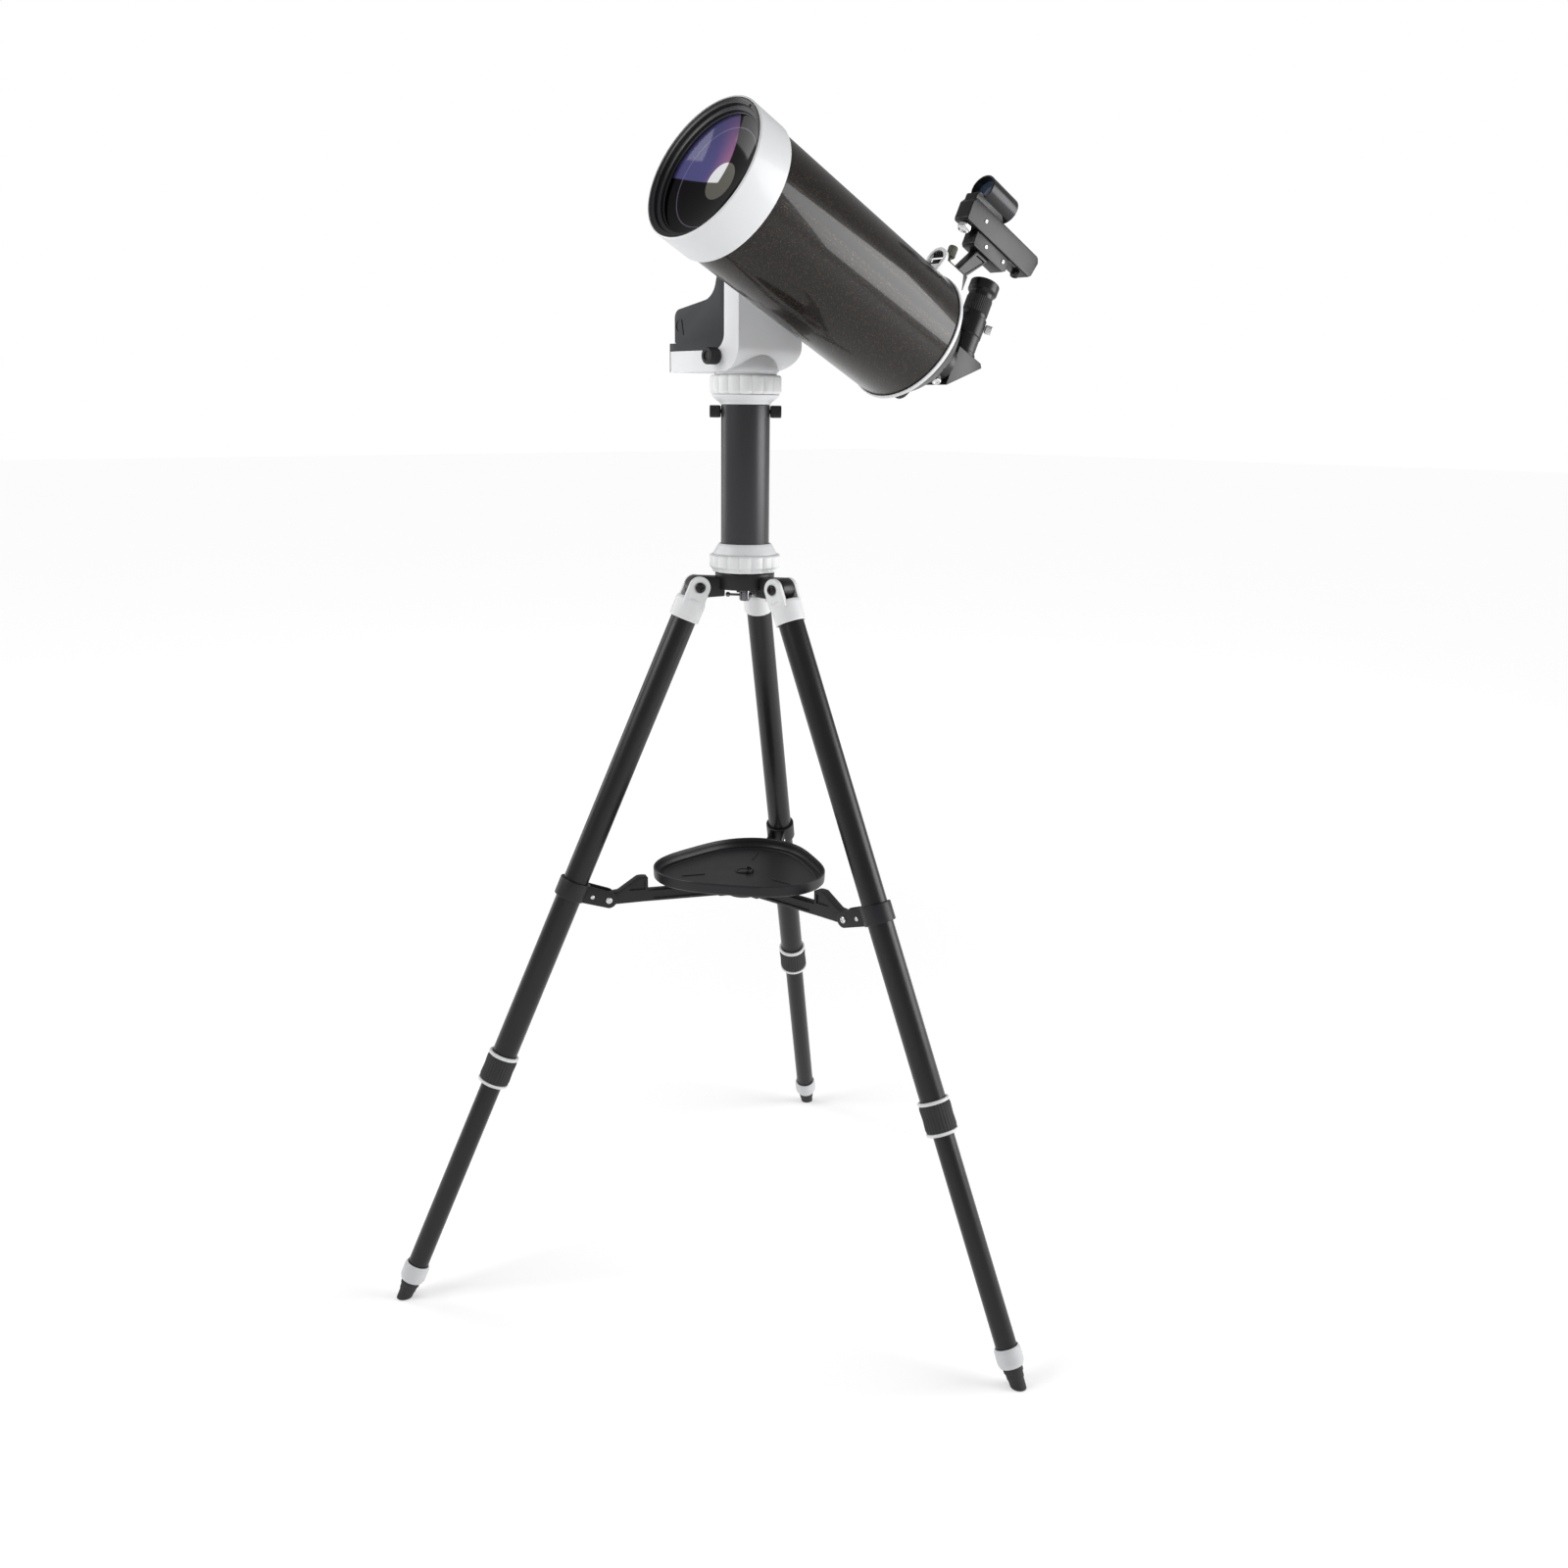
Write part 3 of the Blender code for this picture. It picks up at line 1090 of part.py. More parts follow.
def diagonal_housing(turret):
    side = DIAGONAL_WIDTH / 2
    body = plate(diagonal_outline(0), -side, side, "X")
    nose_end = REAR_CELL_BACK - DIAGONAL_STATION - 4
    join(body, cylinder(NOSE_RADIUS, (0, 0, DIAGONAL_FRONT - 5), (0, 0, nose_end)),
         cylinder(HOLDER_RADIUS, (0, DIAGONAL_TOP - 5, 0), (0, HOLDER_END, 0)))
    out = Vector((sin(radians(EYEPIECE_SCREW_TURN)), 0, cos(radians(EYEPIECE_SCREW_TURN))))
    level = Vector((0, EYEPIECE_SCREW_UP, 0))
    cut(body, plate(diagonal_outline(3), 3 - side, side - 3, "X"),
        cylinder(NOSE_RADIUS - 2.4, (0, 0, DIAGONAL_FRONT - 8), (0, 0, nose_end + 5)),
        cylinder(EYEPIECE_BARREL + GAP, (0, DIAGONAL_TOP - 8, 0), (0, HOLDER_END + 5, 0)),
        cylinder(SET_SCREW_SHANK + PIN_GAP, level + out * 8, level + out * (HOLDER_RADIUS + 5), COARSE))
    return finish(body, "diagonal_housing", turret, SATIN_BLACK)


def diagonal_prism(turret):
    top = DIAGONAL_TOP - PRISM_INSET
    front = DIAGONAL_FRONT - PRISM_INSET
    total = DIAGONAL_TOP - 4 - DIAGONAL_BACK + PRISM_INSET * sqrt(2)
    side = DIAGONAL_WIDTH / 2 - 3.5
    outline = [(top, front), (top, total - top), (total - front, front)]
    return finish(plate(outline, -side, side, "X"), "diagonal_prism", turret, GLASS)


def eyepiece_screw(turret):
    start = EYEPIECE_BARREL + 2 * GAP
    screw = knurled(SET_SCREW_RADIUS, SET_SCREW_LENGTH, SET_SCREW_SHANK, HOLDER_RADIUS + GAP - start, COARSE)
    out = radians(EYEPIECE_SCREW_TURN)
    at = (start * sin(out), EYEPIECE_SCREW_UP, start * cos(out))
    return finish(screw, "eyepiece_screw", turret, STEEL, at, (0, EYEPIECE_SCREW_TURN, 0))


def eyepiece(turret):
    low = DIAGONAL_TOP + 3
    seat = HOLDER_END + GAP
    top = EYEPIECE_TOP
    cup = EYECUP_RADIUS
    bore = EYEPIECE_BARREL - 1.6
    piece = turned([(0, top - 4), (9, top - 4), (13, top), (cup - 0.8, top), (cup, top - 1.5), (cup,
        EYEPIECE_NECK + 3),
                    (EYEPIECE_RADIUS, EYEPIECE_NECK), (EYEPIECE_RADIUS, seat), (EYEPIECE_BARREL, seat),
                    (EYEPIECE_BARREL, low), (bore, low), (bore, seat - 2), (0, seat - 2)])
    return finish(piece, "eyepiece", turret, SATIN_BLACK, (0, 0, 0), (-90, 0, 0))


# ---- finder -------------------------------------------------------------------------------------
def finder_shoe(tube):
    inside = SHOE_HALF - SHOE_WALL
    side = [(SHOE_LOW, SHOE_FRONT), (SHOE_TOP, SHOE_FRONT - SHOE_RAKE), (SHOE_TOP, SHOE_REAR + SHOE_RAKE),
            (SHOE_LOW, SHOE_REAR)]
    shoe = plate(side, -SHOE_HALF, SHOE_HALF, "X")
    arch = [(-SHOE_HALF, SHOE_TOP - 12)]
    arch += [(SHOE_HALF, SHOE_TOP - 12)]
    arch += arc((0, SHOE_ARCH - SHOE_HALF), SHOE_HALF, 0, 180, 8)
    wall = SHOE_FRONT - SHOE_RAKE - 5
    join(shoe, plate(arch, wall, wall + 5, "Z"))
    channel = block((-inside, SHOE_FLOOR, SHOE_REAR - 20), (inside, SHOE_ARCH + 20, wall))
    body = cylinder(REAR_RING_RADIUS + GAP, (0, 0, REAR_RING_FRONT - REAR_RING_WIDTH - 2), (0, 0, 0), FINE)
    cut(shoe, channel, body)
    return finish(shoe, "finder_shoe", tube, WHITE)


def finder_shoe_screw(tube):
    x, station = FINDER_SCREW
    screw = knurled(5.4, 13, 2.2, 16, COARSE)
    return finish(screw, "finder_shoe_screw", tube, RUBBER, (x, FINDER_FOOT_TOP - 3, station), (-90, 0, 0))


def finder_body(tube):
    """The finder with its stand, whose foot sits in the shoe."""
    low, high = FINDER_BODY
    front = FINDER_BODY_FRONT
    rear = FINDER_BODY_REAR
    body = plate([(high, front), (low, front), (low, rear + 8), (low + 4, rear + 4), (high - 4, rear), (high,
        rear + 5)],
                 -FINDER_BODY_HALF, FINDER_BODY_HALF, "X")
    under, over = FINDER_STAND
    stand = block((-FINDER_STAND_HALF, under, FINDER_STAND_REAR), (FINDER_STAND_HALF, low + 1,
                                                                   FINDER_STAND_FRONT))
    stalk = plate([(FINDER_FOOT_TOP - 1, -143), (under + 1, -163), (under + 1, -186), (FINDER_FOOT_TOP - 1,
        -158)],
                  -STALK_HALF, STALK_HALF, "X")
    slim = SHOE_HALF - SHOE_WALL - GAP
    foot = block((-slim, SHOE_FLOOR + GAP, SHOE_REAR - 1), (slim, FINDER_FOOT_TOP,
                                                            SHOE_FRONT - SHOE_RAKE - 6))
    up = FINDER_TUBE_UP
    ring = cylinder(FINDER_TUBE_RADIUS, (0, up, FINDER_TUBE_REAR), (0, up, FINDER_TUBE_FRONT))
    saddle = block((-7, high - 1, FINDER_TUBE_REAR + 6), (7, up - FINDER_TUBE_RADIUS + 2,
                                                          FINDER_TUBE_FRONT - 6))
    join(body, stand, stalk, foot, ring, saddle)
    x, station = FINDER_SCREW
    cut(body, cylinder(FINDER_TUBE_RADIUS - FINDER_TUBE_WALL, (0, up, FINDER_TUBE_REAR - 5), (0, up,
        FINDER_TUBE_FRONT + 5)),
        cylinder(2.2 + PIN_GAP, (x, FINDER_FOOT_TOP - 5, station), (x, FINDER_FOOT_TOP + 5, station), COARSE),
        cylinder(2 + PIN_GAP, (0, low - 5, POWER_KNOB_STATION), (0, low + 4, POWER_KNOB_STATION), COARSE))
    join(body, cylinder(5, (0, low + 2, rear + 21), (0, low - 6, rear + 21), COARSE),
         cylinder(3.5, (0, high - 2, rear + 28), (0, high + 4, rear + 28), COARSE))
    return finish(body, "finder_body", tube, SATIN_BLACK)


def finder_power_knob(tube):
    start = FINDER_BODY[0] + 3
    knob = knurled(POWER_KNOB_RADIUS, 7, 2.0, 3 + GAP, COARSE)
    return finish(knob, "finder_power_knob", tube, STEEL, (0, start, POWER_KNOB_STATION), (90, 0, 0))


# ---- assembly -----------------------------------------------------------------------------------
def build():
    x, y = axis_place()
    base = frame("azimuth_axis", (x, y, 0))
    tripod_hub(base)
    for number, azimuth in enumerate(LEG_AZIMUTHS, 1):
        at = (HINGE_RADIUS * cos(radians(azimuth)), HINGE_RADIUS * sin(radians(azimuth)), HINGE_HEIGHT)
        hinge_bolt(number, azimuth, at, base)
        leg = frame("leg_hinge_%d" % number, at, (0, -LEG_TILT, azimuth), base)
        leg_bracket(number, leg)
        leg_upper_tube(number, leg)
        leg_collar(number, leg)
        leg_lower_tube(number, leg)
        leg_foot(number, leg)
    spreader = frame("spreader_axis", (0, 0, SPREADER_HEIGHT), (0, 0, 0), base)
    spreader_hub(spreader)
    accessory_tray(spreader)
    for number, azimuth in enumerate(LEG_AZIMUTHS, 1):
        spreader_arm(number, azimuth, spreader)

    pillar_lower_flange(base)
    pillar_tube(base)
    pillar_clamp_bolt(base)
    pillar_upper_flange(base)
    pillar_thumbscrew("pillar_thumbscrew_right", THUMBSCREW_AZIMUTH, base)
    pillar_thumbscrew("pillar_thumbscrew_left", THUMBSCREW_AZIMUTH + 180, base)

    azimuth_axle(base)
    azimuth_clutch_ring(base)
    head = frame("head", (0, 0, 0), (0, 0, 0), base)
    head_body(head)
    battery_cover(head)
    cover_lock_screw(head)
    battery_pack(head)
    drive_unit(head)

    swing = frame("altitude_axis", (0, ALTITUDE_Y, ALTITUDE_Z), (90 - ALTITUDE, 0, 0), head)
    altitude_axle(swing)
    altitude_clutch_knob(swing)
    dovetail_saddle(swing)
    saddle_jaw(swing)
    saddle_clamp_knob(swing)

    dovetail_bar(swing)
    optical_tube(swing)
    front_cell(swing)
    corrector_ring(swing)
    corrector_lens(swing)
    primary_mirror(swing)
    rear_cell(swing)
    focus_knob(swing)
    visual_back(swing)
    visual_back_screw(swing)
    turret = frame("diagonal_axis", (TUBE_OFFSET, 0, DIAGONAL_STATION), (0, 0, DIAGONAL_LEAN), swing)
    diagonal_housing(turret)
    diagonal_prism(turret)
    eyepiece_screw(turret)
    eyepiece(turret)

    tube = frame("tube_axis", (TUBE_OFFSET, 0, 0), (0, 0, 0), swing)
    finder_shoe(tube)
    finder_shoe_screw(tube)
    finder_body(tube)
    finder_power_knob(tube)


build()
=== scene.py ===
"""Looks for the maksutov telescope on its single-arm head, pillar and tripod.

Shapes are drawn in millimetres, each in the frame of the body that it rides on.
"""
from math import atan2, cos, pi, radians, sin, sqrt

import bmesh
import bpy
from mathutils import Matrix, Vector


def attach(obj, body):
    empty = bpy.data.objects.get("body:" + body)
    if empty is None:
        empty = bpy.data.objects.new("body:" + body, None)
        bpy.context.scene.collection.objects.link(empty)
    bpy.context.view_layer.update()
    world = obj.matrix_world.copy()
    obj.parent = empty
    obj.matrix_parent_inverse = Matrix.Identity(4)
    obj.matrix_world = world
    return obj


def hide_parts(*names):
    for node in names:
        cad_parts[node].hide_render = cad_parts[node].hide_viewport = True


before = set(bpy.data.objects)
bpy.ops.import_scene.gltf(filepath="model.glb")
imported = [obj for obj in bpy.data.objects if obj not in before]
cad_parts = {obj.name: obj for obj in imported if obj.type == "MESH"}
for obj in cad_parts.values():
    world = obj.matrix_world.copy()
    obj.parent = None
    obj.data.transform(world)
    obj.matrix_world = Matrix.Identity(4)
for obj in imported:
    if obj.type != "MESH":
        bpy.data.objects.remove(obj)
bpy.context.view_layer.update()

# ---- the part's own sizes ------------------------------------------------------------------------
LEG_AZIMUTHS = (5.6, 125.6, 245.6)
TILT = 23.36
LEG_LENGTH = 916.1
HINGE_RADIUS = 56.8
HINGE_HEIGHT = LEG_LENGTH * cos(radians(TILT))
FOOT_RADIUS = HINGE_RADIUS + LEG_LENGTH * sin(radians(TILT))
SPREADER_HEIGHT = 478.0
ALTITUDE = 26.66
ALTITUDE_Y = 9.0
ALTITUDE_Z = 1167.5
TUBE_X = 141.0
THUMBSCREW_AZIMUTH = 49.4
HUB_TOP = HINGE_HEIGHT + 16.0
FLANGE_FLOOR = HUB_TOP + 0.3
PILLAR_FOOT = FLANGE_FLOOR + 9.3
PILLAR_TOP = PILLAR_FOOT + 176.4
CLUTCH_FOOT = PILLAR_TOP + 0.3 + 10.8 + 0.3
DRUM = CLUTCH_FOOT + 20.9
BOX = DRUM + 3.0

feet = [(FOOT_RADIUS * cos(radians(a)), FOOT_RADIUS * sin(radians(a))) for a in LEG_AZIMUTHS]
AXIS_X = -(min(x for x, y in feet) + max(x for x, y in feet)) / 2
AXIS_Y = -(min(y for x, y in feet) + max(y for x, y in feet)) / 2


def move(x, y, z):
    return Matrix.Translation((x, y, z))


def turn(degrees, axis):
    return Matrix.Rotation(radians(degrees), 4, axis)


STAND = move(AXIS_X, AXIS_Y, 0)
SPREADER = STAND @ move(0, 0, SPREADER_HEIGHT)
SWING = STAND @ move(0, ALTITUDE_Y, ALTITUDE_Z) @ turn(90 - ALTITUDE, "X")
TUBE = SWING @ move(TUBE_X, 0, 0)
TURRET = TUBE @ move(0, 0, -198.0)


def hinge_place(azimuth):
    return STAND @ turn(azimuth, "Z") @ move(HINGE_RADIUS, 0, HINGE_HEIGHT)


def leg_place(azimuth):
    return hinge_place(azimuth) @ turn(-TILT, "Y")


# ---- shader nodes --------------------------------------------------------------------------------
class Wire:
    """A shader value that Python's own operators work on."""

    def __init__(self, finish, socket):
        self.finish = finish
        self.socket = socket

    def maths(self, operation, *others):
        return self.finish.node("ShaderNodeMath", {"operation": operation}, [self, *others])

    def __add__(self, other):
        return self.maths("ADD", other)

    def __sub__(self, other):
        return self.maths("SUBTRACT", other)

    def __rsub__(self, other):
        return self.finish.node("ShaderNodeMath", {"operation": "SUBTRACT"}, [other, self])

    def __mul__(self, other):
        return self.maths("MULTIPLY", other)

    def __truediv__(self, other):
        return self.maths("DIVIDE", other)

    def __pow__(self, other):
        return self.maths("POWER", other)

    __radd__ = __add__
    __rmul__ = __mul__

    def between(self, low, high):
        """0 below low, 1 above high and smooth between."""
        return self.finish.node("ShaderNodeMapRange", {"interpolation_type": "SMOOTHSTEP"},
                                {"Value": self, "From Min": low, "From Max": high})


class Finish:
    """A material whose nodes are made one call at a time."""

    def __init__(self, name):
        self.material = bpy.data.materials.new(name)
        self.material.use_nodes = True
        self.tree = self.material.node_tree
        self.shader = self.tree.nodes["Principled BSDF"]
        self.place = self.node("ShaderNodeTexCoord", {}, {}, "Object")

    def node(self, kind, settings, values, output=0):
        made = self.tree.nodes.new(kind)
        for key, value in settings.items():
            setattr(made, key, value)
        pairs = values.items() if isinstance(values, dict) else enumerate(values)
        for key, value in pairs:
            self.feed(made.inputs[key], value)
        return Wire(self, made.outputs[output])

    def feed(self, socket, value):
        if isinstance(value, Wire):
            self.tree.links.new(value.socket, socket)
        elif isinstance(value, tuple) and len(value) == 3 and socket.type == "RGBA":
            socket.default_value = (*value, 1)
        else:
            socket.default_value = value

    def noise(self, scale, detail=3.0, stretch=(1, 1, 1), place=None):
        spot = self.node("ShaderNodeMapping", {}, {"Vector": place or self.place, "Scale": stretch})
        return self.node("ShaderNodeTexNoise", {}, {"Vector": spot, "Scale": scale, "Detail": detail})

    def mix(self, amount, a, b):
        made = self.tree.nodes.new("ShaderNodeMix")
        made.data_type = "RGBA"
        for index, value in ((0, amount), (6, a), (7, b)):
            self.feed(made.inputs[index], value)
        return Wire(self, made.outputs[2])

    def bump(self, height, strength, distance):
        return self.node("ShaderNodeBump", {}, {"Strength": strength, "Distance": distance, "Height": height})

    def wear(self, **sockets):
        """Sets or links sockets of the shader by name, with _ for a space."""
        for key, value in sockets.items():
            self.feed(self.shader.inputs[key.replace("_", " ")], value)
        return self

    def local(self, place):
        """Coordinates along a body's own axes, in metres."""
        angles = place.to_euler()
        centre = place.translation * 0.001
        moved = self.node("ShaderNodeVectorMath", {"operation": "SUBTRACT"}, [self.place, tuple(centre)])
        return self.node("ShaderNodeVectorRotate", {"rotation_type": "EULER_XYZ", "invert": True},
                         {"Vector": moved, "Rotation": tuple(angles)})


def shade(colour, amount):
    return tuple(min(1.0, c * amount) for c in colour)


def painted(name, colour, roughness, metallic=0.0, tone=0.05, grain=1400.0, depth=0.00002, coat=0.0, strength=0.25,
            shine=0.5):
    """Paint or moulded plastic: a slow drift of tone, a fine skin and uneven gloss."""
    finish = Finish(name)
    slow = finish.noise(9.0, 2.0)
    fine = finish.noise(grain, 2.0)
    smudge = finish.noise(38.0, 4.0)
    finish.wear(Base_Color=finish.mix(slow, shade(colour, 1 - tone), shade(colour, 1 + tone)),
                Roughness=roughness - 0.05 + smudge * 0.1, Metallic=metallic, Coat_Weight=coat,
                Specular_IOR_Level=shine, Normal=finish.bump(fine, strength, depth))
    return finish


def brushed(name, colour, roughness, stretch=(1, 1, 30)):
    """Bare metal with fine lines and a few darker patches."""
    finish = Finish(name)
    lines = finish.noise(600.0, 3.0, stretch)
    patch = finish.noise(60.0, 3.0)
    finish.wear(Base_Color=finish.mix(patch, shade(colour, 0.86), colour), Metallic=1.0,
                Roughness=roughness - 0.06 + lines * 0.14, Normal=finish.bump(lines, 0.12, 0.00002))
    return finish


def flecked_tube():
    """Deep gloss black with copper and gold metal flakes under clear lacquer."""
    finish = Finish("flecked_tube")
    cells = {"Vector": finish.place, "Scale": 1500.0}
    near = finish.node("ShaderNodeTexVoronoi", {}, cells, "Distance")
    pick = finish.node("ShaderNodeTexVoronoi", {}, cells, "Color")
    chance = finish.node("ShaderNodeSeparateColor", {}, [pick])
    tint = finish.node("ShaderNodeSeparateColor", {}, [pick], 1)
    cloud = finish.noise(420.0, 2.0).between(0.40, 0.62)
    fleck = (1 - near.between(0.18, 0.40)) * chance.between(0.60, 0.78) * (0.3 + cloud * 0.7)
    copper = finish.mix(tint, (0.26, 0.12, 0.060), (0.50, 0.34, 0.20))
    base = finish.mix(finish.noise(6.0, 2.0), (0.0050, 0.0040, 0.0036), (0.0080, 0.0064, 0.0058))
    finish.wear(Base_Color=finish.mix(fleck * 0.7, base, copper), Metallic=fleck * 0.6,
                Roughness=0.26 + fleck * 0.14 + finish.noise(25.0) * 0.03, Coat_Weight=0.36, Coat_Roughness=0.05,
                Specular_IOR_Level=0.16,
                Normal=finish.bump(finish.noise(90.0, 1.0), 0.05, 0.00004))
    return finish


def coated_lens():
    """Dark coated glass with a painted reflection: a violet-blue wedge of reflected light painted into its colour,
    which also turns the silvered spot at its centre bright.
    """
    finish = Finish("coated_lens")
    spot = finish.local(TUBE)
    across = finish.node("ShaderNodeSeparateXYZ", {}, [spot], 0)
    up = finish.node("ShaderNodeSeparateXYZ", {}, [spot], 1)
    radius = (across * across + up * up) ** 0.5
    # The wedge is a painted reflection: its outline, violet-blue tint and upward fade are painted into the base
    # colour, and inside it the silvered spot is painted bright.
    edge = up * 0.45 - up * up * 4.3 - 0.003 - across
    wedge = (up + across * 0.093 + 0.0016).between(0.0, 0.0012) * edge.between(0.0, 0.0016)
    blue = finish.mix((edge * 26.0).between(0.0, 0.75), (0.30, 0.130, 0.250), (0.080, 0.076, 0.210))
    lit = finish.mix((up * 18.0 - 0.25).between(0.0, 1.1), blue, (0.060, 0.055, 0.140))
    glass = finish.mix(wedge, (0.004, 0.003, 0.004), lit)
    silver_and_painted_reflection = finish.mix(wedge, (0.13, 0.125, 0.105), (0.90, 0.91, 0.92))
    in_spot = 1 - radius.between(0.0192, 0.0198)
    ring = radius.between(0.0515, 0.0520) * (1 - radius.between(0.0524, 0.0529))
    colour = finish.mix(ring * 0.25, finish.mix(in_spot, glass, silver_and_painted_reflection), (0.42, 0.38, 0.52))
    finish.wear(Base_Color=colour, Roughness=0.06 + in_spot * 0.2, Metallic=in_spot * 0.3, Specular_IOR_Level=0.12)
    return finish


def clear_glass(name, colour):
    finish = Finish(name)
    haze = finish.noise(30.0, 2.0)
    finish.wear(Base_Color=finish.mix(haze, shade(colour, 0.8), colour), Roughness=0.03 + haze * 0.04,
                Metallic=0.35, Coat_Weight=1.0, Coat_Roughness=0.02)
    return finish


def silvered(name):
    finish = Finish(name)
    haze = finish.noise(20.0, 3.0)
    finish.wear(Base_Color=finish.mix(haze, (0.84, 0.85, 0.87), (0.93, 0.94, 0.95)), Metallic=1.0,
                Roughness=0.02 + haze * 0.03)
    return finish


WHITE = painted("white_enamel", (0.66, 0.665, 0.675), 0.42, tone=0.012, coat=0.15)
WHITE_PLASTIC = painted("white_moulding", (0.70, 0.705, 0.71), 0.45, tone=0.015, grain=1800.0)
BLACK_METAL = painted("black_anodised", (0.009, 0.009, 0.010), 0.34, tone=0.12, grain=2400.0, metallic=0.15,
                      shine=0.4)
BLACK_PLASTIC = painted("black_moulding", (0.012, 0.012, 0.014), 0.42, tone=0.10, grain=2200.0, strength=0.45,
                        shine=0.34)
PILLAR_PAINT = painted("pillar_paint", (0.024, 0.024, 0.027), 0.36, tone=0.06, grain=1500.0, metallic=0.3)
SLATE = painted("slate_moulding", (0.012, 0.015, 0.018), 0.46, tone=0.05, grain=1700.0, strength=0.4, shine=0.34)
RUBBER = painted("ribbed_rubber", (0.018, 0.018, 0.019), 0.72, tone=0.15, grain=900.0, strength=0.5)
PALE_CAP = painted("pale_foot_cap", (0.58, 0.585, 0.60), 0.45, tone=0.02)
FINDER_BLACK = painted("finder_moulding", (0.0055, 0.0055, 0.006), 0.34, tone=0.08, grain=2000.0, strength=0.35,
                       shine=0.34)
SATIN_TUBE = painted("drawn_black_tube", (0.022, 0.022, 0.024), 0.28, metallic=0.5, tone=0.08, grain=2600.0)
STEEL = brushed("turned_steel", (0.74, 0.74, 0.75), 0.24)
DARK_CHROME = brushed("dark_chrome", (0.16, 0.16, 0.17), 0.20)
BRASS = brushed("machined_brass", (0.72, 0.53, 0.24), 0.30)
ALUMINIUM = brushed("cast_aluminium", (0.78, 0.78, 0.80), 0.34)
FLECKED = flecked_tube()
LENS = coated_lens()
PRISM_GLASS = clear_glass("prism_glass", (0.25, 0.30, 0.36))
EYE_GLASS = clear_glass("eye_glass", (0.06, 0.09, 0.14))
MIRROR = silvered("silvered_glass")
OLIVE = painted("olive_knob", (0.075, 0.075, 0.055), 0.5, tone=0.1)
INNER_BLACK = painted("matt_inside", (0.008, 0.008, 0.009), 0.85, tone=0.2)


# ---- shapes --------------------------------------------------------------------------------------
def to_mesh(name, shape):
    mesh = bpy.data.meshes.new(name)
    bmesh.ops.recalc_face_normals(shape, faces=shape.faces)
    shape.to_mesh(mesh)
    shape.free()
    return mesh


def rounded(profile, radius, steps=3, closed=True):
    """Each corner of a profile eased by an arc-like curve no longer than its sides allow."""
    points = [Vector((r, z)) for r, z in profile]
    count = len(points)
    eased = []
    for i, corner in enumerate(points):
        before = points[i - 1]
        after = points[(i + 1) % count]
        end = not closed and i in (0, count - 1)
        if end or corner.x < 0.01:
            eased.append(corner)
            continue
        one = before - corner
        two = after - corner
        if one.length < 0.01 or two.length < 0.01 or one.angle(two) > radians(176):
            eased.append(corner)
            continue
        reach = min(radius, one.length * 0.45, two.length * 0.45)
        start = corner + one.normalized() * reach
        finish = corner + two.normalized() * reach
        for step in range(steps + 1):
            t = step / steps
            eased.append((1 - t) ** 2 * start + 2 * t * (1 - t) * corner + t ** 2 * finish)
    return [(p.x, p.y) for p in eased]


def lathe(profile, steps=96, ease=0.6, start=0.0):
    """A profile of (radius, height) turned about Z; a closed loop unless it starts on the axis."""
    closed = profile[0][0] > 0.01
    outline = rounded(profile, ease, closed=closed) if ease else profile
    shape = bmesh.new()
    rings = []
    for radius, height in outline:
        if radius < 0.01:
            rings.append([shape.verts.new((0, 0, height))])
            continue
        angles = [start + 2 * pi * i / steps for i in range(steps)]
        rings.append([shape.verts.new((radius * cos(a), radius * sin(a), height)) for a in angles])
    pairs = list(zip(rings, rings[1:]))
    if closed:
        pairs.append((rings[-1], rings[0]))
    for upper, lower in pairs:
        for i in range(steps):
            j = (i + 1) % steps
            corners = [upper[i % len(upper)], upper[j % len(upper)], lower[j % len(lower)], lower[i % len(lower)]]
            unique = list(dict.fromkeys(corners))
            if len(unique) > 2:
                shape.faces.new(unique)
    return to_mesh("lathe", shape)


def arc(centre, radius, start, end, steps=12):
    angles = [radians(start + (end - start) * i / steps) for i in range(steps + 1)]
    return [(centre[0] + radius * cos(a), centre[1] + radius * sin(a)) for a in angles]


LAY = {
    "Z": Matrix.Identity(4),
    "Y": Matrix(((1, 0, 0, 0), (0, 0, 1, 0), (0, 1, 0, 0), (0, 0, 0, 1))),
    "X": Matrix(((0, 0, 1, 0), (1, 0, 0, 0), (0, 1, 0, 0), (0, 0, 0, 1))),
}


def slab(outline, low, high, axis="Z", edge=0.0, segments=3):
    """A flat outline between two heights: (x, y) on Z, (x, z) on Y, (y, z) on X."""
    shape = bmesh.new()
    bottom = [shape.verts.new((a, b, low)) for a, b in outline]
    top = [shape.verts.new((a, b, high)) for a, b in outline]
    shape.faces.new(bottom)
    shape.faces.new(top)
    for i in range(len(outline)):
        j = (i + 1) % len(outline)
        shape.faces.new((bottom[i], bottom[j], top[j], top[i]))
    shape.transform(LAY[axis])
    mesh = to_mesh("slab", shape)
    return eased_edges(mesh, edge, segments) if edge else mesh


def brick(low, high, edge=0.0):
    return slab([(low[0], low[1]), (high[0], low[1]), (high[0], high[1]), (low[0], high[1])], low[2], high[2],
                edge=edge)


def bar(radius, start, end, steps=48, ease=0.5):
    """A round bar between two points, with eased ends."""
    start = Vector(start)
    end = Vector(end)
    length = (end - start).length
    mesh = lathe([(0, length), (radius, length), (radius, 0), (0, 0)], steps, ease)
    along = (end - start).to_track_quat("Z", "Y").to_matrix().to_4x4()
    mesh.transform(Matrix.Translation(start) @ along)
    return mesh


def moved(mesh, place):
    copy = mesh.copy()
    copy.transform(place)
    if place.to_3x3().determinant() < 0:
        copy.flip_normals()
    return copy


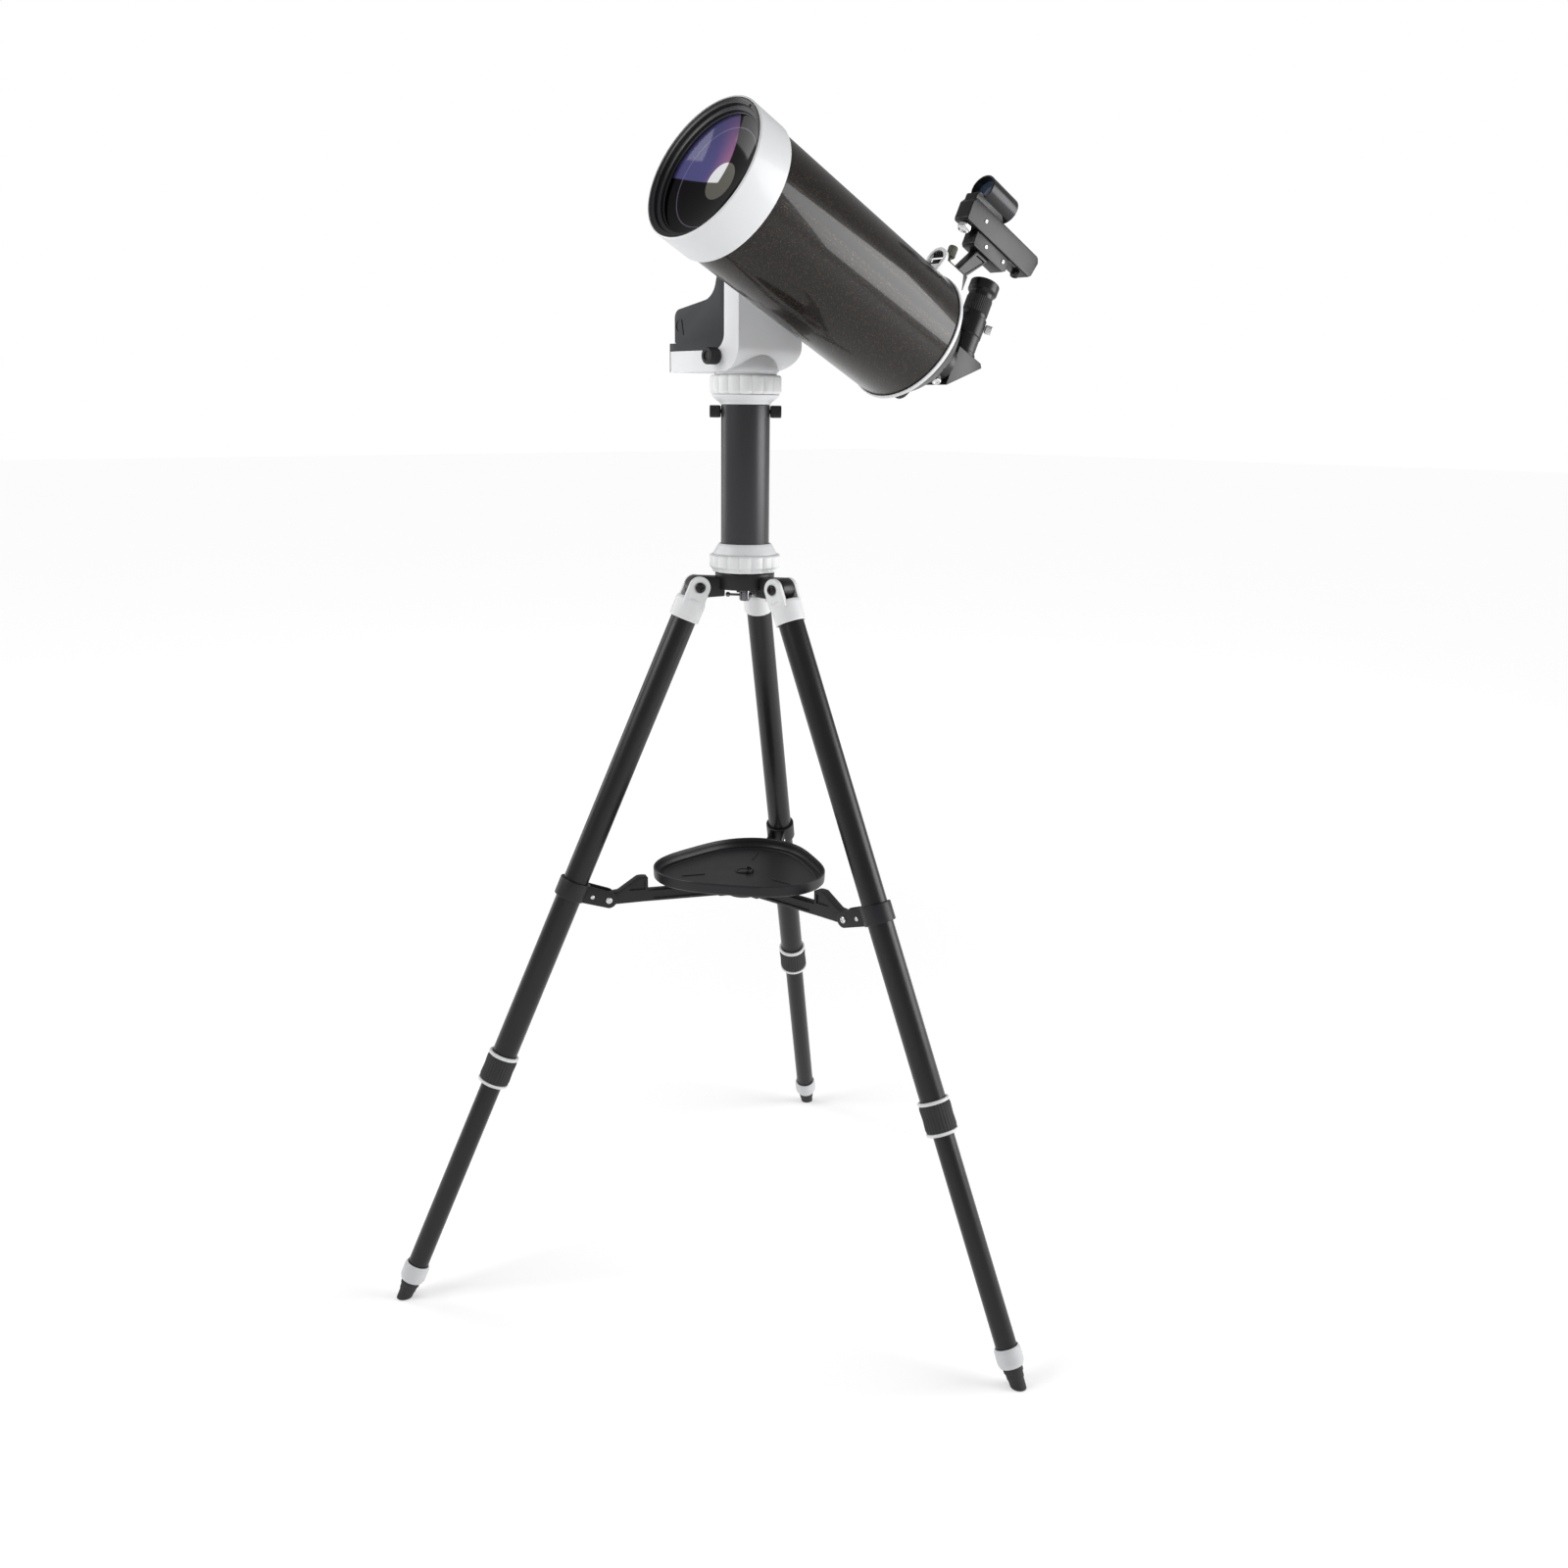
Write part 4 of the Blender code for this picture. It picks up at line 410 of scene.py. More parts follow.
def worked(mesh, *jobs):
    """A mesh with modifiers applied, given as (kind, settings) pairs."""
    carrier = bpy.data.objects.new("carrier", mesh)
    bpy.context.scene.collection.objects.link(carrier)
    for kind, settings in jobs:
        modifier = carrier.modifiers.new(kind, kind)
        for key, value in settings.items():
            setattr(modifier, key, value)
    result = bpy.data.meshes.new_from_object(carrier.evaluated_get(bpy.context.evaluated_depsgraph_get()))
    bpy.data.objects.remove(carrier, do_unlink=True)
    return result


def eased_edges(mesh, width, segments=3, angle=32):
    return worked(mesh, ("BEVEL", {"width": width, "segments": segments, "limit_method": "ANGLE",
                                   "angle_limit": radians(angle), "use_clamp_overlap": True}))


def combined(mesh, operation, *tools):
    for tool in tools:
        other = bpy.data.objects.new("tool", tool)
        bpy.context.scene.collection.objects.link(other)
        mesh = worked(mesh, ("BOOLEAN", {"operation": operation, "solver": "EXACT", "object": other}))
        bpy.data.objects.remove(other, do_unlink=True)
    return mesh


def joined(*meshes):
    """Several closed shapes kept in one mesh."""
    shape = bmesh.new()
    for mesh in meshes:
        shape.from_mesh(mesh)
    result = bpy.data.meshes.new("joined")
    shape.to_mesh(result)
    shape.free()
    return result


def piece(name, mesh, place, finish, body, replaces=(), sharp=34):
    """One finished piece: its place goes into its mesh and it rides on a body."""
    mesh = mesh.copy()
    mesh.transform(Matrix.Scale(0.001, 4) @ place)
    mesh.name = name
    mesh.materials.clear()
    mesh.materials.append(finish.material)
    mesh.shade_smooth()
    mesh.set_sharp_from_angle(angle=radians(sharp))
    thing = bpy.data.objects.new(name, mesh)
    bpy.context.scene.collection.objects.link(thing)
    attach(thing, body)
    if replaces:
        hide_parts(*([replaces] if isinstance(replaces, str) else replaces))
    return thing


# ---- geometry node trees -------------------------------------------------------------------------
def tree_with(name, **inputs):
    tree = bpy.data.node_groups.new(name, "GeometryNodeTree")
    tree.interface.new_socket("Geometry", in_out="INPUT", socket_type="NodeSocketGeometry")
    for key, (kind, value) in inputs.items():
        socket = tree.interface.new_socket(key, in_out="INPUT", socket_type=kind)
        if value is not None:
            socket.default_value = value
    tree.interface.new_socket("Geometry", in_out="OUTPUT", socket_type="NodeSocketGeometry")
    return tree, tree.nodes.new("NodeGroupInput"), tree.nodes.new("NodeGroupOutput")


def wired(tree, kind, settings, values):
    made = tree.nodes.new(kind)
    for key, value in settings.items():
        setattr(made, key, value)
    for key, value in values.items():
        if isinstance(value, bpy.types.NodeSocket):
            tree.links.new(value, made.inputs[key])
        else:
            made.inputs[key].default_value = value
    return made


def ending(tree, source, given, out):
    real = wired(tree, "GeometryNodeRealizeInstances", {}, {"Geometry": source})
    dressed = wired(tree, "GeometryNodeSetMaterial", {},
                    {"Geometry": real.outputs[0], "Material": given.outputs["Material"]})
    tree.links.new(dressed.outputs[0], out.inputs[0])


def ring_tree():
    """Copies of a shape round Z, each standing at a radius."""
    tree, given, out = tree_with("ring of copies", Count=("NodeSocketInt", 12), Radius=("NodeSocketFloat", 0.0),
                                 Start=("NodeSocketFloat", 0.0), Material=("NodeSocketMaterial", None))
    reach = wired(tree, "ShaderNodeCombineXYZ", {}, {"X": given.outputs["Radius"]})
    standing = wired(tree, "GeometryNodeTransform", {}, {"Geometry": given.outputs["Geometry"],
                                                         "Translation": reach.outputs[0]})
    points = wired(tree, "GeometryNodeMeshLine", {}, {"Count": given.outputs["Count"], "Offset": (0, 0, 0)})
    index = wired(tree, "GeometryNodeInputIndex", {}, {})
    step = wired(tree, "ShaderNodeMath", {"operation": "DIVIDE"}, {0: 2 * pi, 1: given.outputs["Count"]})
    angle = wired(tree, "ShaderNodeMath", {"operation": "MULTIPLY_ADD"},
                  {0: index.outputs[0], 1: step.outputs[0], 2: given.outputs["Start"]})
    spin = wired(tree, "ShaderNodeCombineXYZ", {}, {"Z": angle.outputs[0]})
    copies = wired(tree, "GeometryNodeInstanceOnPoints", {}, {"Points": points.outputs[0],
                                                              "Instance": standing.outputs[0],
                                                              "Rotation": spin.outputs[0]})
    ending(tree, copies.outputs[0], given, out)
    return tree


def lobe_tree():
    """Pushes a turned shape's outside in and out as it goes round."""
    tree, given, out = tree_with("lobes", Lobes=("NodeSocketFloat", 16.0), Depth=("NodeSocketFloat", 1.0),
                                 Inside=("NodeSocketFloat", 1.0), Sharpness=("NodeSocketFloat", 0.5),
                                 Material=("NodeSocketMaterial", None))
    spot = wired(tree, "GeometryNodeInputPosition", {}, {})
    split = wired(tree, "ShaderNodeSeparateXYZ", {}, {0: spot.outputs[0]})
    angle = wired(tree, "ShaderNodeMath", {"operation": "ARCTAN2"}, {0: split.outputs[1], 1: split.outputs[0]})
    waves = wired(tree, "ShaderNodeMath", {"operation": "MULTIPLY"}, {0: angle.outputs[0], 1: given.outputs["Lobes"]})
    swing = wired(tree, "ShaderNodeMath", {"operation": "COSINE"}, {0: waves.outputs[0]})
    half = wired(tree, "ShaderNodeMath", {"operation": "MULTIPLY_ADD"}, {0: swing.outputs[0], 1: 0.5, 2: 0.5})
    curve = wired(tree, "ShaderNodeMath", {"operation": "POWER"}, {0: half.outputs[0], 1: given.outputs["Sharpness"]})
    dip = wired(tree, "ShaderNodeMath", {"operation": "SUBTRACT"}, {0: curve.outputs[0], 1: 1.0})
    flat = wired(tree, "ShaderNodeCombineXYZ", {}, {"X": split.outputs[0], "Y": split.outputs[1]})
    radius = wired(tree, "ShaderNodeVectorMath", {"operation": "LENGTH"}, {0: flat.outputs[0]})
    outside = wired(tree, "ShaderNodeMath", {"operation": "GREATER_THAN"}, {0: radius.outputs["Value"],
            1: given.outputs["Inside"]})
    push = wired(tree, "ShaderNodeMath", {"operation": "MULTIPLY"}, {0: dip.outputs[0], 1: given.outputs["Depth"]})
    kept = wired(tree, "ShaderNodeMath", {"operation": "MULTIPLY"}, {0: push.outputs[0], 1: outside.outputs[0]})
    way = wired(tree, "ShaderNodeVectorMath", {"operation": "NORMALIZE"}, {0: flat.outputs[0]})
    shift = wired(tree, "ShaderNodeVectorMath", {"operation": "SCALE"}, {0: way.outputs[0], "Scale": kept.outputs[0]})
    pushed = wired(tree, "GeometryNodeSetPosition", {}, {"Geometry": given.outputs["Geometry"],
                                                         "Offset": shift.outputs[0]})
    ending(tree, pushed.outputs[0], given, out)
    return tree


RING = ring_tree()
LOBES = lobe_tree()


def through(tree, mesh, finish, **values):
    """Runs a mesh through a tree and gives back a plain mesh."""
    carrier = bpy.data.objects.new("carrier", mesh)
    bpy.context.scene.collection.objects.link(carrier)
    modifier = carrier.modifiers.new("Nodes", "NODES")
    modifier.node_group = tree
    for item in tree.interface.items_tree:
        if item.in_out == "INPUT" and item.name in values:
            modifier[item.identifier] = values[item.name]
        elif item.in_out == "INPUT" and item.name == "Material":
            modifier[item.identifier] = finish.material
    result = bpy.data.meshes.new_from_object(carrier.evaluated_get(bpy.context.evaluated_depsgraph_get()))
    bpy.data.objects.remove(carrier, do_unlink=True)
    return result


def lobed(profile, lobes, depth, inside, finish, sharpness=0.5, ease=0.6, steps=None):
    blank = lathe(profile, steps or int(lobes) * 12, ease)
    return through(LOBES, blank, finish, Lobes=float(lobes), Depth=float(depth), Inside=float(inside),
                   Sharpness=float(sharpness))


def ring_of(shape, count, radius, finish, start=0.0):
    return through(RING, shape, finish, Count=count, Radius=float(radius), Start=radians(start))


# ---- small fittings ------------------------------------------------------------------------------
def cross_head(radius, height):
    """A screw head along Z from 0 to its height, with a cross recess."""
    head = lathe([(0, height), (radius * 0.7, height), (radius, height * 0.55), (radius, 0), (0, 0)], 40, 0.4)
    half = radius * 0.62
    slot = radius * 0.14
    deep = height * 0.4
    return combined(head, "DIFFERENCE", brick((-half, -slot, deep), (half, slot, height + 1)),
                    brick((-slot, -half, deep), (slot, half, height + 1)))


def grip(radius, length, shank, reach, finish, ridges=22, depth=0.7, bore=0.45):
    """A ridged thumbscrew along Z whose shank starts at the origin."""
    end = reach + length
    dish = radius * bore
    head = lobed([(0, end - 1.4), (dish, end - 1.4), (dish + 0.8, end), (radius - 0.6, end), (radius, end - 0.8),
                  (radius, reach + 1.2), (radius - 0.9, reach), (0,
                                                                 reach)], ridges, depth, radius * 0.86, finish, 0.4)
    groove = lathe([(0, reach + 0.5), (shank, reach + 0.5), (shank, 0.6), (shank - 0.5, 0), (0, 0)], 32, 0.1)
    return joined(head, groove)


SCREW_SMALL = cross_head(2.6, 1.5)
SCREW_LARGE = cross_head(5.8, 3.0)


# ---- tripod --------------------------------------------------------------------------------------
def make_tripod_hub():
    low = HUB_TOP - 19
    disc = lathe([(32.5, HUB_TOP), (34, HUB_TOP - 1.5), (34, low + 1), (33, low), (5.3, low), (5.3, HUB_TOP)], 120,
                 0.5)
    lug = [(26, HINGE_HEIGHT - 11)] + arc((HINGE_RADIUS, HINGE_HEIGHT), 12.8, -80, 80, 20) + [(26, HINGE_HEIGHT + 11)]
    web = [(14, low + 4), (31, low + 4), (31, low - 2), (16, low - 2)]
    for azimuth in LEG_AZIMUTHS:
        arm = slab(lug, -9.7, 9.7, "Y", 1.2)
        rib = slab(web, -2, 2, "Y", 0.5)
        disc = combined(disc, "UNION", moved(arm, turn(azimuth, "Z")), moved(rib, turn(azimuth + 60, "Z")))
    for azimuth in LEG_AZIMUTHS:
        hole = bar(3.3, (HINGE_RADIUS, -20, HINGE_HEIGHT), (HINGE_RADIUS, 20, HINGE_HEIGHT), 32, 0)
        disc = combined(disc, "DIFFERENCE", moved(hole, turn(azimuth, "Z")))
    piece("tripod_hub_casting", disc, STAND, BLACK_METAL, "base", "tripod_hub")


def make_hinge_bolts():
    shank = lathe([(0, 15.5), (3, 15.5), (3, -15.5), (0, -15.5)], 32, 0)
    both = joined(shank, moved(SCREW_LARGE, move(0, 0, 15.5)),
                  moved(SCREW_LARGE, move(0, 0, -15.5) @ turn(180, "X")))
    for number, azimuth in enumerate(LEG_AZIMUTHS, 1):
        piece("hinge_bolt_%d" % number, both, hinge_place(azimuth) @ turn(90, "X"), BLACK_METAL, "base",
              "leg_hinge_bolt_%d" % number)


def bracket_mesh():
    socket = lathe([(13.6, -14.3), (16.4, -15.0), (17.6, -18), (17.6, -39), (17.0, -40), (15, -40), (15, -16.3),
                    (0.5, -16.3), (0.5, -14.3)], 72, 0.7)
    ear = [(-12.4, -22), (12.4, -22)] + arc((0, 0), 12.4, -4, 184, 26)
    cheeks = [slab(ear, 10, 15.2, "Y", 0.9), slab(ear, -15.2, -10, "Y", 0.9)]
    body = combined(socket, "UNION", *cheeks)
    hole = bar(3.3, (0, -20, 0), (0, 20, 0), 32, 0)
    bore = bar(15, (0, 0, -60), (0, 0, -16.3), 72, 0)
    seat = joined(bar(6.6, (0, 15.9, 0), (0, 14.7, 0), 40, 0), bar(6.6, (0, -15.9, 0), (0, -14.7, 0), 40, 0))
    return combined(body, "DIFFERENCE", bore, hole, seat)


def pivot_on_leg():
    out = 166.0 - HINGE_RADIUS
    down = SPREADER_HEIGHT - HINGE_HEIGHT
    tilt = radians(TILT)
    return out * cos(tilt) + down * sin(tilt), -out * sin(tilt) + down * cos(tilt)


def clamp_mesh():
    """The band round the leg with the two cheeks that hold the spreader arm."""
    x, z = pivot_on_leg()
    band = lathe([(18.1, -368.6), (18.1, -389.4), (17.2, -390), (14.75, -390), (14.75, -368), (17.2, -368)], 72, 0.5)
    side = [(-14.8, -389.5), (-14.8, -368.5)] + arc((x, z), 9.8, 84, 250, 22)
    cheeks = [slab(side, 7.1, 10.1, "Y", 0.7), slab(side, -10.1, -7.1, "Y", 0.7)]
    body = combined(band, "UNION", *cheeks)
    heads = []
    for sign in (-1, 1):
        lay = turn(-90 * sign, "X")
        heads.append(moved(cross_head(3.9, 1.9), move(x, 10.0 * sign, z) @ lay))
        heads.append(moved(cross_head(2.6, 1.4), move(-23.5, 10.0 * sign, -379) @ lay))
    return body, joined(*heads)


def clipped_to_floor(mesh, place):
    """Slides anything under the floor back up along the leg's own axis."""
    along = (place.to_3x3() @ Vector((0, 0, 1))).normalized()
    back = place.inverted()
    for vertex in mesh.vertices:
        spot = place @ vertex.co
        if spot.z < 0:
            vertex.co = back @ (spot - along * (spot.z / along.z))
    return mesh


def make_legs():
    bracket = bracket_mesh()
    band, heads = clamp_mesh()
    upper = lathe([(14.7, -16.8), (14.7, -610), (13.3, -610), (13.3, -16.8)], 72, 0.3)
    barrel = lobed([(17.2, -595.8), (18.1, -600), (17.6, -611.5), (18.1, -623), (17.2, -627.2), (12.4, -627.2),
                    (12.4, -610.4), (15.05, -610.4), (15.05, -595.8)], 30, 0.55, 16.4, RUBBER, 0.6, 0.8)
    white_rings = joined(
        lathe([(16.9, -592), (18.3, -593), (18.3, -595.4), (17.4, -595.8), (15.05, -595.8), (15.05, -592)], 96, 0.5),
        lathe([(17.4, -627.2), (18.3, -627.6), (18.3, -630), (16.9, -631), (12.4, -631), (12.4, -627.2)], 96, 0.5))
    lower = lathe([(12.0, -331), (12.0, -889), (10.7, -889), (10.7, -331)], 72, 0.3)
    cap = lathe([(13.4, -871), (15.0, -874.5), (15.0, -888), (13.2, -892.6), (12.3, -892.8), (12.3, -871)], 72, 0.8)
    tip = [(0, -924), (8.5, -924), (8.8, -907), (9.6, -906), (9.9, -900), (10.9, -899), (11.2, -894), (12.3, -892.9),
           (12.3, -889.4), (0, -889.4)]
    for number, azimuth in enumerate(LEG_AZIMUTHS, 1):
        place = leg_place(azimuth)
        body = "leg_%d" % number
        reach = "leg_extension_%d" % number
        collar = "collar_%d" % number
        piece("leg_socket_%d" % number, bracket, place, WHITE_PLASTIC, body, "leg_bracket_%d" % number)
        piece("upper_leg_%d" % number, upper, place, BLACK_METAL, body, "leg_upper_tube_%d" % number)
        piece("clamp_band_%d" % number, band, place, BLACK_PLASTIC, body, ())
        piece("clamp_screws_%d" % number, heads, place, STEEL, body, ())
        piece("collar_barrel_%d" % number, barrel, place, RUBBER, collar, "leg_twist_collar_%d" % number)
        piece("collar_rings_%d" % number, white_rings, place, WHITE_PLASTIC, collar, ())
        piece("lower_leg_%d" % number, lower, place, BLACK_METAL, reach, "leg_lower_tube_%d" % number)
        piece("foot_cap_%d" % number, cap, place, PALE_CAP, reach, "leg_foot_%d" % number)
        spike = lathe(tip, 72, 0.3)
        piece("foot_tip_%d" % number, clipped_to_floor(spike, place), place, RUBBER, reach, ())


def make_spreader():
    length = 136.0
    side = arc((0, 0), 6.9, 90, 270, 14) + [(length - 40, -6.4)] + arc((length, 0), 6.9, -90, 90, 14)
    side += [(length - 13, 8.2), (length - 36, 23.4), (length - 42, 23.8), (length - 47.6, 23.0), (length - 47.6,
            7.0)]
    arm = slab(side, -6.4, 6.4, "Y", 0.8)
    for sign in (-1, 1):
        window = [(14, -3.6), (length - 54, -3.6), (length - 54, 3.6), (14, 3.6)]
        gusset = [(length - 44, 8.5), (length - 24, 8.5), (length - 38, 19.5), (length - 44, 19.5)]
        near, far = sorted((4.6 * sign, 8 * sign))
        arm = combined(arm, "DIFFERENCE", slab(window, near, far, "Y"), slab(gusset, near, far, "Y"))
    arm = combined(arm, "DIFFERENCE", bar(2.8, (0, -9, 0), (0, 9, 0), 32, 0))
    for number, azimuth in enumerate(LEG_AZIMUTHS, 1):
        place = SPREADER @ turn(azimuth, "Z") @ move(30, 0, 0)
        piece("spreader_link_%d" % number, arm, place, BLACK_PLASTIC, "arm_%d" % number, "spreader_arm_%d" % number)
    hub = lathe([(0, 19.8), (6, 19.8), (6.9, 18.8), (6.9, 15.7), (18.6, 15.7), (19, 15), (19, -8.4), (18, -9), (0,
            -9)], 96, 0.4)
    cheek = [(14, -6.6)] + arc((30, 0), 6.8, -88, 88, 18) + [(14, 6.6)]
    for azimuth in LEG_AZIMUTHS:
        spin = turn(azimuth, "Z")
        pin = bar(2.5, (30, -9.4, 0), (30, 9.4, 0), 32, 0.3)
        hub = combined(hub, "UNION", moved(slab(cheek, 7.1, 10.1, "Y", 0.5), spin),
                       moved(slab(cheek, -10.1, -7.1, "Y", 0.5), spin), moved(pin, spin))
    piece("spreader_core", hub, SPREADER, BLACK_PLASTIC, "spreader", "spreader_hub")


def make_tray():
    """A dish with three soft corners, its wall drawn as loops of (inset, height)."""
    loops = [(40, 0), (6, 0.0), (2.2, 0.6), (0.6, 2.2), (0.2, 6.0), (0.0, 11.0), (0.0, 13.2), (0.5, 13.9), (1.2,
            14.0),
             (2.0, 13.7), (2.5, 12.8), (2.6, 9.0), (3.0, 5.4), (4.2, 3.6), (6.4, 3.0), (9.5, 3.0), (10.2,
                     3.7), (11.4, 3.7),
             (12.1, 3.0), (40, 3.0)]
    count = 192
    shape = bmesh.new()
    rings = []
    for inset, height in loops:
        ring = []
        for i in range(count):
            angle = 2 * pi * i / count
            radius = 99.5 - inset + 9.5 * cos(3 * angle) * (1 - inset / 130)
            ring.append(shape.verts.new((radius * cos(angle), radius * sin(angle), height)))
        rings.append(ring)
    hole_top = [shape.verts.new((7.4 * cos(2 * pi * i / count), 7.4 * sin(2 * pi * i / count),
                                 3.0)) for i in range(count)]
    hole_low = [shape.verts.new((7.4 * cos(2 * pi * i / count), 7.4 * sin(2 * pi * i / count),
                                 0.0)) for i in range(count)]
    rings += [hole_top, hole_low]
    for upper, lower in zip(rings, rings[1:] + rings[:1]):
        for i in range(count):
            j = (i + 1) % count
            shape.faces.new((upper[i], upper[j], lower[j], lower[i]))
    mesh = to_mesh("tray", shape)
    place = SPREADER @ turn(LEG_AZIMUTHS[0], "Z") @ move(0, 0, 16)
    piece("accessory_dish", mesh, place, BLACK_PLASTIC, "tray", "accessory_tray")
    handle = joined(
        slab(arc((0, 0), 12.6, 200, 340, 24) + arc((0, 0), 10.6, 340, 200, 24), 3.0, 6.4, "Z", 0.5),
        lathe([(9.6, 4.2), (9.6, 3.0), (7.6, 3.0), (7.6, 4.2)], 64, 0.3))
    piece("tray_lock_ring", handle, place @ turn(130, "Z"), BLACK_METAL, "tray", ())
    rib = brick((-14, -0.7, 3.0), (14, 0.7, 3.8), 0.25)
    piece("tray_ribs", ring_of(rib, 3, 62.0, BLACK_PLASTIC), place, BLACK_PLASTIC, "tray", ())


# ---- pillar --------------------------------------------------------------------------------------
def make_pillar():
    low = FLANGE_FLOOR
    skirt = lathe([(29.5, low + 32), (31.5, low + 29.5), (36.2, low + 21.2), (36.2, low + 20), (27.75, low + 20),
                   (27.75, low + 32)], 120, 0.8)
    ring = lobed([(38.4, low + 19.9), (40.9, low + 18.2), (40.9, low + 6.2), (38.0, low + 3.6), (36.4, low), (5.3,
            low), (5.3, low + 9),
                  (27.75, low + 9), (27.75, low + 19.9)], 18, 1.5, 37.0, WHITE_PLASTIC, 0.35, 0.8, 288)
    piece("lower_flange_ring", ring, STAND, WHITE_PLASTIC, "base", "pillar_lower_flange")
    piece("lower_flange_skirt", skirt, STAND, WHITE, "base", ())
    tube = lathe([(27.2, PILLAR_TOP), (27.45, PILLAR_TOP - 0.4), (27.45, PILLAR_FOOT), (25.55, PILLAR_FOOT),
                  (25.55, PILLAR_TOP)], 120, 0.2)
    for azimuth in (THUMBSCREW_AZIMUTH, THUMBSCREW_AZIMUTH + 180):
        hole = moved(bar(2.8, (20, 0, PILLAR_TOP - 7.4), (32, 0, PILLAR_TOP - 7.4), 32, 0), turn(azimuth, "Z"))
        tube = combined(tube, "DIFFERENCE", hole)
    piece("pillar_barrel", tube, STAND, PILLAR_PAINT, "base", "pillar_tube")
    shelf = CLUTCH_FOOT - 0.3
    foot = PILLAR_TOP + 0.3
    flare = lathe([(38.0, shelf), (38.0, shelf - 1.4), (33.4, foot + 5.0), (29.0, foot + 1.9), (28.3, foot), (25.2,
            foot),
                   (25.2, foot - 17), (24.6, foot - 18), (8.3, foot - 18), (8.3, shelf)], 120, 0.9)
    piece("upper_flange_flare", flare, STAND, WHITE, "base", "pillar_upper_flange")
    start = 27.45 - 1.9 - 5
    screw = grip(6.8, 12.5, 2.5, 27.75 - start, BLACK_PLASTIC, 20, 0.6)
    collar = lathe([(0, 27.75 - start + 2.4), (4.2, 27.75 - start + 2.4), (4.2, 27.75 - start), (0,
            27.75 - start)], 40, 0.3)
    for name, azimuth in (("right", THUMBSCREW_AZIMUTH), ("left", THUMBSCREW_AZIMUTH + 180)):
        place = STAND @ turn(azimuth, "Z") @ move(start, 0, PILLAR_TOP - 7.4) @ turn(90, "Y")
        piece("pillar_screw_" + name, joined(screw, collar), place, BLACK_PLASTIC, "thumbscrew_" + name,
              "pillar_thumbscrew_" + name)
    head = HUB_TOP - 19.3
    end = head - 14.5
    top = FLANGE_FLOOR + 17
    bolt = lathe([(0, top), (4, top), (5, top - 1), (5, head), (6.2, head), (6.2, end + 1.4), (5.0, end), (0,
            end)], 64, 0.5)
    z = end + 6.5
    balls = [moved(lathe([(0, 3.0), (1.5, 2.6), (2.6, 1.5), (3.0, 0), (2.6, -1.5), (1.5, -2.6), (0, -3.0)], 32, 0),
                   move(x, 0, z))
             for x in (-20, 7)]
    handle = joined(bolt, bar(1.5, (-20, 0, z), (7, 0, z), 24), *balls)
    piece("clamp_bolt_handle", handle, STAND @ turn(THUMBSCREW_AZIMUTH - 15, "Z"), DARK_CHROME, "clamp_bolt",
          "pillar_clamp_bolt")


# ---- head ----------------------------------------------------------------------------------------
def side_outline(inset):
    low = BOX + inset
    corner = 28.0 - inset
    outline = [(-37 + inset, low)]
    outline += arc((56 - inset - corner, low + corner), corner, -90, 0, 18)
    return outline + arc((ALTITUDE_Y, ALTITUDE_Z), 46.5 - inset, 0, 180, 60)


def arm_outline(inset, opening):
    low = BOX + inset
    corner = 28.0 - inset
    right = 31.0 - inset
    high = ALTITUDE_Z + 51.5
    bend = 18.0 + opening
    step = BOX + 23.0 + opening
    inner = 6.5 - opening
    outline = [(-88.4 + inset, low)] + arc((right - corner, low + corner), corner, -90, 0, 20)
    outline += [(right, high), (inner, high)] + arc((inner - bend, step + bend), bend, 0, -90, 20)
    return outline + [(-88.4 + inset, step)]


def make_head_body():
    shell = combined(slab(arm_outline(0, 0), -37, 56, "Y"), "INTERSECT", slab(side_outline(0), -100, 41, "X"))
    shell = eased_edges(shell, 2.6, 4, 40)
    cavity = combined(slab(arm_outline(3, 2), -34, 53, "Y"), "INTERSECT", slab(side_outline(3), -100, 41, "X"))
    shell = combined(shell, "DIFFERENCE", cavity)
    drum = lathe([(0, DRUM + 24), (27.5, DRUM + 24), (31.0, DRUM + 18.6), (34.6, DRUM + 12), (36.4, DRUM + 7.6),
                  (36.8, DRUM + 5),
                  (36.8, DRUM + 3), (35.0, DRUM + 3), (35.0, DRUM), (0, DRUM)], 144, 1.2)
    shell = combined(shell, "UNION", drum)
    tools = [bar(27.5, (0, 0, BOX + 3), (0, 0, DRUM + 27), 96, 0), bar(12.3, (0, 0, DRUM - 5), (0, 0, BOX + 10),
                                                                       72, 0),
             bar(9.3, (6, ALTITUDE_Y, ALTITUDE_Z), (36, ALTITUDE_Y, ALTITUDE_Z), 72, 0),
             bar(2.8, (-6, -42, BOX + 16.5), (-6, -33, BOX + 16.5), 32, 0)]
    shell = combined(shell, "DIFFERENCE", *tools)
    piece("head_casting", shell, STAND, WHITE, "head", "head_body", 30)
    seat = lathe([(6.6, 1.2), (7.0, 0.2), (7.0, -1.0), (3.2, -1.0), (3.2, 1.2)], 48, 0.3)
    piece("lock_screw_seat", seat, STAND @ move(-6, -37, BOX + 16.5) @ turn(90, "X"), WHITE, "head", ())


def cover_outline(inset):
    high = ALTITUDE_Z + 51.5
    right = 6.2 + (10 if inset else 0)
    step = BOX + 23.3 - (1 if inset else 0)
    shoulder = BOX + 62.0
    side = -81.2 + inset
    back = -8.0 + inset
    outline = [(right, high)]
    outline += [(right, step)] if inset else arc((right - 18, step + 18), 18, 0, -90, 20)
    outline += [(side, step), (side, shoulder - 3 - inset)]
    outline += arc((side + 10, shoulder - 3 - inset), 10, 180, 105, 14)
    outline += arc((back - 24, shoulder + 38 - inset), 24 + inset, -75, 0, 20)
    return outline + [(back, high)]


